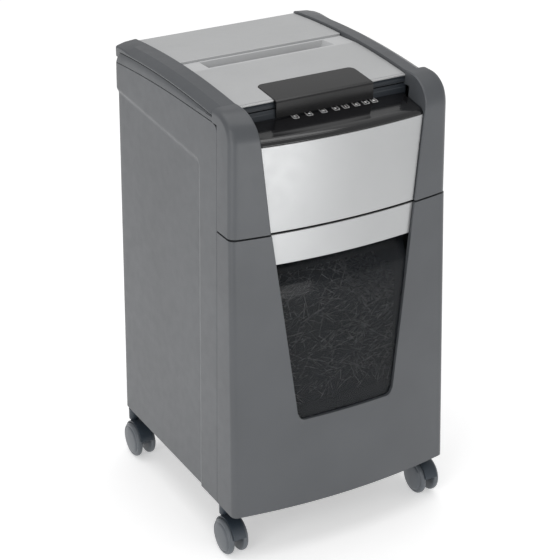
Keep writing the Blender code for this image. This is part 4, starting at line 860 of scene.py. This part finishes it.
def top_panel(start, end, step_down):
    """Crowned silver sheet with a turned-down skirt at each end."""
    top = [(y, panel_z(y) - step_down) for y in steps(start, end, 30)]
    low = [(y, z - LID_PANEL_T) for y, z in top]
    foot = LID_WEB_Z + LID_WEB + GAP
    outline = top + [(end, foot), (end - WALL, foot), (end - WALL, low[-1][1])]
    outline += low[-2:0:-1]
    outline += [(start + WALL, low[0][1]), (start + WALL, foot), (start, foot)]
    half = LID_PANEL_HALF - PANEL_TRIM
    return prism_mesh(outline, -half, half, "X")


def lid_panels():
    rear = top_panel(SLOT_BACK_Y + THROAT_WALL + GAP, LID_BACK_Y - RAIL_REAR_R * 0.25, 0.0)
    piece("silver_top_rear", rear, "top_silver", "lid", ["lid_panel_rear"], 0.0009)
    front = top_panel(LID_FRONT_Y + WALL + GAP, SLOT_FRONT_Y - THROAT_WALL - GAP, LID_STEP)
    notch = tab_outline(HANDLE_ROOM)
    front = combined(front, prism_mesh(notch, LID_WEB_Z - 0.01, CROWN_Z + 0.01))
    piece("silver_top_front", front, "top_silver", "lid", ["lid_panel_front"],
          0.0007)
    lip_z = panel_z(LID_FRONT_Y) - LID_STEP
    for side, word in SIDES:
        lip = side_box(side, (HANDLE_HALF + HANDLE_ROOM, LID_FRONT_Y - 0.001, lip_z - LID_PANEL_T),
                       (LID_PANEL_HALF - PANEL_TRIM, LID_FRONT_Y + WALL + GAP, lip_z))
        piece("silver_lip_" + word, lip, "top_silver", "lid", ["lid_panel_front"],
              0.0008)


def tab_outline(room):
    """Plan of the handle tab with rounded rear corners, grown by room."""
    half = HANDLE_HALF + room
    rear = HANDLE_BACK_Y + room
    r = HANDLE_CORNER_R + room
    outline = arc(half - r, rear - r, r, 0, 90, 10)
    outline += arc(r - half, rear - r, r, 90, 180, 10)
    return outline + [(-half, HANDLE_FRONT_Y - 0.02), (half, HANDLE_FRONT_Y - 0.02)]


def handle():
    """Glossy tab let into the front panel, rolling over its front edge into a hanging grip."""
    r = HANDLE_R
    brow = panel_z(HANDLE_FRONT_Y) - LID_STEP + HANDLE_PROUD
    top = [(y, panel_z(y) - LID_STEP + HANDLE_PROUD)
           for y in steps(HANDLE_BACK_Y, HANDLE_FRONT_Y + r, 20)]
    outline = top + arc(HANDLE_FRONT_Y + r, brow - r, r, 90, 180, 8)[1:]
    outline += [(HANDLE_FRONT_Y + 0.0008, HANDLE_LIP_Z), (HANDLE_FRONT_Y + HANDLE_T, HANDLE_LIP_Z)]
    outline += [(HANDLE_FRONT_Y + HANDLE_T, brow - 0.008), (LID_FRONT_Y - GAP, brow - 0.008)]
    outline += [(LID_FRONT_Y - GAP, brow - 0.004), (HANDLE_BACK_Y, panel_z(HANDLE_BACK_Y) - 0.004)]
    bm = prism_mesh(outline, -HANDLE_HALF, HANDLE_HALF, "X")
    corners = prism_mesh(tab_outline(0.0), HANDLE_LIP_Z - 0.01, CROWN_Z + 0.01)
    bm = combined(bm, corners, "INTERSECT")
    piece("handle_tab", bm, "tab", "lid", ["lid_handle"], 0.0011)


def slot_recess():
    """Silver recess of the manual slot: a ramp that falls to the rear, slanted ends."""
    w = THROAT_WALL
    foot = LID_WEB_Z + LID_WEB + GAP
    high = panel_z(SLOT_FRONT_Y) - LID_STEP - 0.0003
    top = high - SLOT_FALL
    outline = [(SLOT_FRONT_Y - w, foot), (SLOT_BACK_Y + w, foot), (SLOT_BACK_Y + w, top)]
    outline += [(SLOT_BACK_Y - w, top), (SLOT_FRONT_Y - w, high)]
    half = LID_PANEL_HALF - PANEL_TRIM
    bm = prism_mesh(outline, -half, half, "X")
    bm = combined(bm, box_mesh((-SLOT_HALF - w, SLOT_FRONT_Y - w, LID_WEB_Z),
                               (SLOT_HALF + w, SLOT_BACK_Y + w, LID_WEB_Z + THROAT_FOOT)),
                  "UNION")
    levels = (LID_WEB_Z - 0.002, LID_WEB_Z + 0.003, LID_WEB_Z + THROAT_FOOT, top - 0.0008,
              high + 0.0010)
    rings = []
    for z, (half, front, rear) in zip(levels, FUNNEL_MOUTHS):
        rings.append([(-half, front, z), (half, front, z), (half, rear, z), (-half, rear, z)])
    bm = combined(bm, loft_mesh(rings))
    piece("slot_recess", bm, "ramp", "lid", ["slot_funnel"], 0.0008, angle=20.0)


# ------------ bin
GRIP_DEPTH = 0.025  # finger recess behind the silver strip
GRIP_RUNOUT = 0.055  # the window's surface falls back over this height
GRIP_CURVE = 2.2  # higher is flatter below and steeper above
GRIP_TOP_Z = STRIP_LOW_Z - 0.004  # the recess has its full depth from here
WINDOW_SINK = 0.0046  # window, behind the dark frame
WINDOW_T = 0.002
WINDOW_REAR_Y = -0.14
STRIP_T = 0.004
FRAME_DEPTH = 0.0068  # depth of the dark frame's inner walls
TUB_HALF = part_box("bin_tub")[HIGH].x
TUB_FRONT_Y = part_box("bin_tub")[LOW].y
TUB_BACK_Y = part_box("bin_tub")[HIGH].y
TUB_BOTTOM_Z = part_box("bin_tub")[LOW].z
TUB_WALL = 0.0025
MASS_DEPTH = 0.012  # packed shreds, under the heap's top
SHREDS_AT_WINDOW = 1500
SHREDS_ON_TOP = 2200
SHRED_HALF_T = 0.00009


def opening_outline(room):
    """Front view of the opening with its rounded lower corners, shrunk by room."""
    low_half = OPEN_HALF_LOW - room
    low = WINDOW_LOW_Z + room
    above = 0.02  # the outline runs past the seam by this much
    spread = (OPEN_HALF_SEAM - OPEN_HALF_LOW) / (SEAM_Z - WINDOW_LOW_Z)
    r = WINDOW_CORNER_R
    outline = [(OPEN_HALF_SEAM - room + above * spread, SEAM_Z + above)]
    outline += [(low_half + r * spread, low + r)]
    outline += arc(low_half - r, low + r, r, 0, -90, 12)[1:]
    return outline + [(-x, z) for x, z in reversed(outline)]


def bin_shell():
    """Dark front of the bin, wrapping round to the side seam, deep round the opening."""
    r = FRONT_CORNER_R
    rings = []
    for z in steps(BODY_BOTTOM, BIN_TOP_Z, 40):
        hw = half_width(z)
        face = [(x, front_y(x, z)) for x in steps(r - hw, hw - r, 56)]
        right = arc(hw - r, front_y(hw - r, z) + r, r, -90, 0, 10)[1:]
        outer = [(-x, y) for x, y in reversed(right)] + face + right
        end = PANEL_SPLIT_Y - JOINT
        inner = [(x * (hw - FRAME_DEPTH) / hw, y + FRAME_DEPTH) for x, y in outer]
        outer = [(-hw, end)] + outer + [(hw, end)]
        inner = [(FRAME_DEPTH - hw, end)] + inner + [(hw - FRAME_DEPTH, end)]
        rings.append([(x, y, z) for x, y in outer + inner[::-1]])
    opening = prism_mesh(opening_outline(0.0), AHEAD_Y, PANEL_SPLIT_Y - 0.001, "Y")
    bm = combined(loft_mesh(rings), opening)
    piece("bin_shell", bm, "charcoal", "bin", ["bin_front"], 0.0016, angle=40.0)


def grip_set_back(z):
    """Depth of the finger recess in the window sheet at height z."""
    if z >= GRIP_TOP_Z:
        return GRIP_DEPTH
    share = max(0.0, (z - (GRIP_TOP_Z - GRIP_RUNOUT)) / GRIP_RUNOUT)
    return GRIP_DEPTH * share ** GRIP_CURVE


def window():
    """Smoked sheet that falls back behind the strip, with its ends cut to the opening."""
    heights = steps(WINDOW_LOW_Z - 0.004, STRIP_LOW_Z - 0.046, 10)
    heights += steps(STRIP_LOW_Z - 0.043, GRIP_TOP_Z, 18)
    heights += steps(STRIP_LOW_Z + 0.01, BIN_TOP_Z - 0.0004, 2)
    bm = front_sheet(heights, WINDOW_SINK, WINDOW_T, grip_set_back)
    opening = prism_mesh(opening_outline(0.0004), AHEAD_Y, WINDOW_REAR_Y, "Y")
    bm = combined(bm, opening, "INTERSECT")
    piece("window_sheet", bm, "smoked", "bin", ["bin_window"], 0.0006)


def strip():
    heights = steps(STRIP_LOW_Z, BIN_TOP_Z - 0.0002, 6)
    bm = front_sheet(heights, FRAME_PROUD, STRIP_T)
    piece("silver_strip", bm, "silver", "bin", ["bin_strip"], 0.0010)


def heap_z(x, y):
    """Top of the shredded paper: high on the left, falling to the right."""
    fall = smooth((x - 0.005) / 0.075)
    wave = 0.010 * math.sin(31 * x + 2.0) + 0.008 * math.sin(24 * y + 0.7)
    return 0.490 - 0.095 * fall + wave - 0.05 * smooth((y - 0.05) / 0.15)


def paper_mass():
    """Packed shreds under the loose ones, coloured near black: painted shade inside the bin."""
    edge = 0.004
    xs = steps(-TUB_HALF + TUB_WALL + edge, TUB_HALF - TUB_WALL - edge, 40)
    ys = steps(TUB_FRONT_Y + TUB_WALL + 0.014, TUB_BACK_Y - TUB_WALL - edge, 36)
    base = TUB_BOTTOM_Z + TUB_WALL + 0.001
    rng = random.Random(3)
    bm = bmesh.new()
    top = [[bm.verts.new((x, y, heap_z(x, y) - MASS_DEPTH + rng.uniform(-0.003, 0.003)))
            for x in xs] for y in ys]
    low = [[bm.verts.new((x, y, base)) for x in xs] for y in ys]
    for j in range(len(ys) - 1):
        for i in range(len(xs) - 1):
            bm.faces.new((top[j][i], top[j][i + 1], top[j + 1][i + 1], top[j + 1][i]))
            bm.faces.new((low[j][i], low[j + 1][i], low[j + 1][i + 1], low[j][i + 1]))
    loop = [(0, i) for i in range(len(xs))] + [(j, len(xs) - 1) for j in range(1, len(ys))]
    loop += [(len(ys) - 1, i) for i in range(len(xs) - 2, -1, -1)]
    loop += [(j, 0) for j in range(len(ys) - 2, 0, -1)]
    for (a, b), (c, d) in zip(loop, loop[1:] + loop[:1]):
        bm.faces.new((top[a][b], low[a][b], low[c][d], top[c][d]))
    piece("paper_mass", bm, "mass", "bin", (), 0.0)


def add_shred(bm, rng, place, heading, pitch, length, width):
    """One strip of paper, bent along its length, as a thin closed ribbon."""
    along = Vector((math.cos(heading) * math.cos(pitch), math.sin(heading) * math.cos(pitch),
                    math.sin(pitch)))
    aside = Vector((rng.uniform(-1, 1), rng.uniform(-1, 1), rng.uniform(0.2, 1.5)))
    across = along.cross(aside).normalized()
    normal = along.cross(across)
    bend = rng.uniform(-14.0, 14.0)
    rings = []
    for t in steps(-0.5, 0.5, 5):
        s = t * length
        middle = place + along * s + normal * (bend * s * s)
        rings.append([bm.verts.new(middle + across * (u * width / 2) + normal * (v * SHRED_HALF_T))
                      for u, v in ((-1, -1), (1, -1), (1, 1), (-1, 1))])
    for low, high in zip(rings, rings[1:]):
        for i in range(4):
            j = (i + 1) % 4
            bm.faces.new((low[i], low[j], high[j], high[i]))
    bm.faces.new(rings[0][::-1])
    bm.faces.new(rings[-1])


def shreds():
    """Loose strips against the window and over the heap."""
    rng = random.Random(11)
    bm = bmesh.new()
    low = WINDOW_LOW_Z - 0.012
    for _ in range(SHREDS_AT_WINDOW):
        x = rng.uniform(-0.128, 0.128)
        y = TUB_FRONT_Y + TUB_WALL + rng.uniform(0.006, 0.026)
        top = heap_z(x, y)
        z = low + (top - low) * rng.random() ** 0.85
        add_shred(bm, rng, Vector((x, y, z)), rng.uniform(-0.5, 0.5), rng.gauss(0.0, 0.75),
                  rng.uniform(0.018, 0.044), rng.uniform(0.0009, 0.0017))
    for _ in range(SHREDS_ON_TOP):
        x = rng.uniform(-0.155, 0.155)
        y = rng.uniform(TUB_FRONT_Y + 0.025, TUB_BACK_Y - 0.025)
        z = heap_z(x, y) - 0.006 + rng.uniform(0.0, 0.012)
        add_shred(bm, rng, Vector((x, y, z)), rng.uniform(-3.1, 3.1), rng.gauss(0.0, 0.35),
                  rng.uniform(0.020, 0.036), rng.uniform(0.0022, 0.0040))
    piece("paper_shreds", bm, "paper", "bin", (), 0.0)

# ------------ casters
CASTER_TRAIL = 0.021  # swivel's axis, behind the axle
WHEEL_INNER_X = 0.0078
WHEEL_T = 0.0102
HOOD_HALF = 0.0112  # half width of the hood over the gap between the wheels
HOOD_WEB_HALF = 0.0068
HOOD_R = 0.0338
HOOD_T = 0.0026
CAP_R = 0.0238  # domed cap in the wheel's face
NECK_R = 0.0092
STEM_R = 0.0045


def wheel(word, hand, side, centre):
    """Wheel with a rounded tread, a groove and a domed cap with a raised rim."""
    a = WHEEL_INNER_X
    b = WHEEL_INNER_X + WHEEL_T
    r = centre.z - 0.0001
    profile = [(a, 0.006), (a, r - 0.004), (a + 0.0006, r - 0.0018), (a + 0.0016, r - 0.0006)]
    profile += [(a + 0.0030, r), (b - 0.0040, r), (b - 0.0022, r - 0.0008), (b - 0.0008, r - 0.0024)]
    profile += [(b - 0.0002, CAP_R + 0.0020), (b - 0.0010, CAP_R + 0.0010)]
    profile += [(b - 0.0010, CAP_R + 0.0002)]
    profile += [(b + 0.0004, CAP_R - 0.0004), (b + 0.0008, CAP_R - 0.0016)]
    profile += [(b + 0.0008 + 0.0016 * math.cos(t), (CAP_R - 0.0016) * math.sin(t))
                for t in (1.35, 1.1, 0.85, 0.6, 0.35, 0.1)]
    bm = turned_mesh([(side * w, q) for w, q in profile], 72, "X", centre)
    name = "caster_wheel_%s_%s" % (word, hand)
    piece("wheel_%s_%s" % (word, hand), bm, "caster", "wheel_%s_%s" % (word, hand), [name],
          0.0, angle=60.0)


def hood(word, centre):
    """Curved hood over the gap between the wheels, its web, neck and stem."""
    outer = arc(0, 0, HOOD_R, 165, 15, 40)
    inner = arc(0, 0, HOOD_R - HOOD_T, 15, 165, 40)
    bm = prism_mesh(outer + inner, -HOOD_HALF, HOOD_HALF, "X")
    web = arc(0, 0, HOOD_R - HOOD_T / 2, 165, 15, 30) + [(0.012, -0.010), (-0.010, -0.010)]
    bm = combined(bm, prism_mesh(web, -HOOD_WEB_HALF, HOOD_WEB_HALF, "X"), "UNION")
    socket_z = BODY_BOTTOM + 0.0005 - 0.006 - GAP - centre.z
    neck = turned_mesh([(0.012, HOOD_WEB_HALF), (0.028, HOOD_WEB_HALF), (0.0305, NECK_R),
                        (socket_z, NECK_R)], 32, "Z", (0, CASTER_TRAIL, 0))
    bm = combined(bm, neck, "UNION")
    stem = turned_mesh([(0.016, STEM_R), (BODY_BOTTOM + 0.006 - centre.z, STEM_R)], 24, "Z",
                       (0, CASTER_TRAIL, 0))
    bm = combined(bm, stem, "UNION")
    bmesh.ops.translate(bm, vec=centre, verts=bm.verts)
    piece("hood_" + word, bm, "hood", "caster_" + word, ["caster_hood_" + word], 0.0007)


def casters():
    for row in ("front", "rear"):
        for hand in ("left", "right"):
            word = row + "_" + hand
            low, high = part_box("caster_axle_" + word)
            centre = (low + high) / 2
            hood(word, centre)
            for side, half in SIDES:
                wheel(word, half, side, centre)


# ------------ back fittings
INLET_SHIFT = 0.011  # the blades stand beside the rocker switch


def inlet():
    """Three blades of the mains inlet."""
    low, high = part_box("inlet_module")
    x = (low.x + high.x) / 2 + INLET_SHIFT
    z = (low.z + high.z) / 2
    for i, (dx, dz) in enumerate(((0.0, 0.0050), (-0.0042, -0.0035), (0.0042, -0.0035))):
        blade = box_mesh((x + dx - 0.0008, BACK_Y - 0.0125, z + dz - 0.0020),
                         (x + dx + 0.0008, BACK_Y - 0.0030, z + dz + 0.0020))
        piece("inlet_blade_%d" % (i + 1), blade, "steel", "cabinet", (), 0.0003)


# ------------ studio
CAMERA_PLACE = Vector((-1.29355, -2.29247, 1.68390))
CAMERA_RIGHT = Vector((0.87113, -0.49106, 0.0))
CAMERA_UP = Vector((0.21838, 0.38740, 0.89570))
CAMERA_LENS = 113.707
WHITE = (1.0, 1.0, 1.0, 1.0)
WORLD_STRENGTH = 0.56
FLOOR_GLOW = 0.40
FLOOR_HALF = 12.0
LIGHTS = (  # name, place, target, size, radiance
    ("key", (-3.0, -2.4, 2.6), (0, 0, 0.4), (1.6, 1.6), 2.4),
    ("top", (0.0, 0.2, 3.4), (0, 0, 0.5), (3.0, 3.0), 1.3),
    ("left_low", (-1.9, -1.0, 0.50), (-0.2, -0.1, 0.45), (0.5, 0.9), 3.4),
    ("front_low", (0.15, -1.7, 0.35), (0.0, -0.2, 0.55), (0.7, 0.7), 2.0),
)


def camera():
    data = bpy.data.cameras.new("camera")
    data.lens = CAMERA_LENS
    data.sensor_width = 36.0
    obj = new_object("camera", data)
    back = CAMERA_RIGHT.cross(CAMERA_UP)
    turn = Matrix((CAMERA_RIGHT, CAMERA_UP, back)).transposed().to_4x4()
    obj.matrix_world = Matrix.Translation(CAMERA_PLACE) @ turn
    bpy.context.scene.camera = obj


def area_light(name, place, target, size, radiance):
    """Soft rectangular light, hidden from the camera itself."""
    data = bpy.data.lights.new(name, "AREA")
    data.shape = "RECTANGLE"
    data.size, data.size_y = size
    data.energy = radiance * math.pi * size[0] * size[1]
    obj = new_object(name, data)
    obj.location = place
    aim = Vector(target) - Vector(place)
    obj.rotation_euler = aim.to_track_quat("-Z", "Y").to_euler()
    obj.visible_camera = False


def floor_material():
    made = Nodes("floor_paper", (0.90, 0.90, 0.90), 0.9)
    made.tint(made.noise(30.0), (0.895, 0.895, 0.895), (0.905, 0.905, 0.905))
    fill(made.shader, {"Emission Color": WHITE, "Emission Strength": FLOOR_GLOW})
    return made.mat


def studio():
    scene = bpy.context.scene
    world = bpy.data.worlds.new("studio")
    world.use_nodes = True
    background = world.node_tree.nodes["Background"]
    fill(background, {"Color": WHITE, "Strength": WORLD_STRENGTH})
    scene.world = world
    scene.view_settings.view_transform = "Standard"
    bm = bmesh.new()
    bmesh.ops.create_grid(bm, x_segments=8, y_segments=8, size=FLOOR_HALF)
    mesh = bpy.data.meshes.new("floor")
    bm.to_mesh(mesh)
    bm.free()
    mesh.materials.append(floor_material())
    floor = new_object("floor", mesh)
    floor.location = (0, 0, -0.0002)
    for light in LIGHTS:
        area_light(*light)


finish_nodes()
for place in SIDES:
    side_panel(*place)
    cheek(*place)
back_cover()
fascia()
control_cover()
lid_rails()
lid_panels()
lid_front_bar()
slot_recess()
handle()
bin_shell()
window()
strip()
paper_mass()
shreds()
casters()
inlet()
camera()
studio()
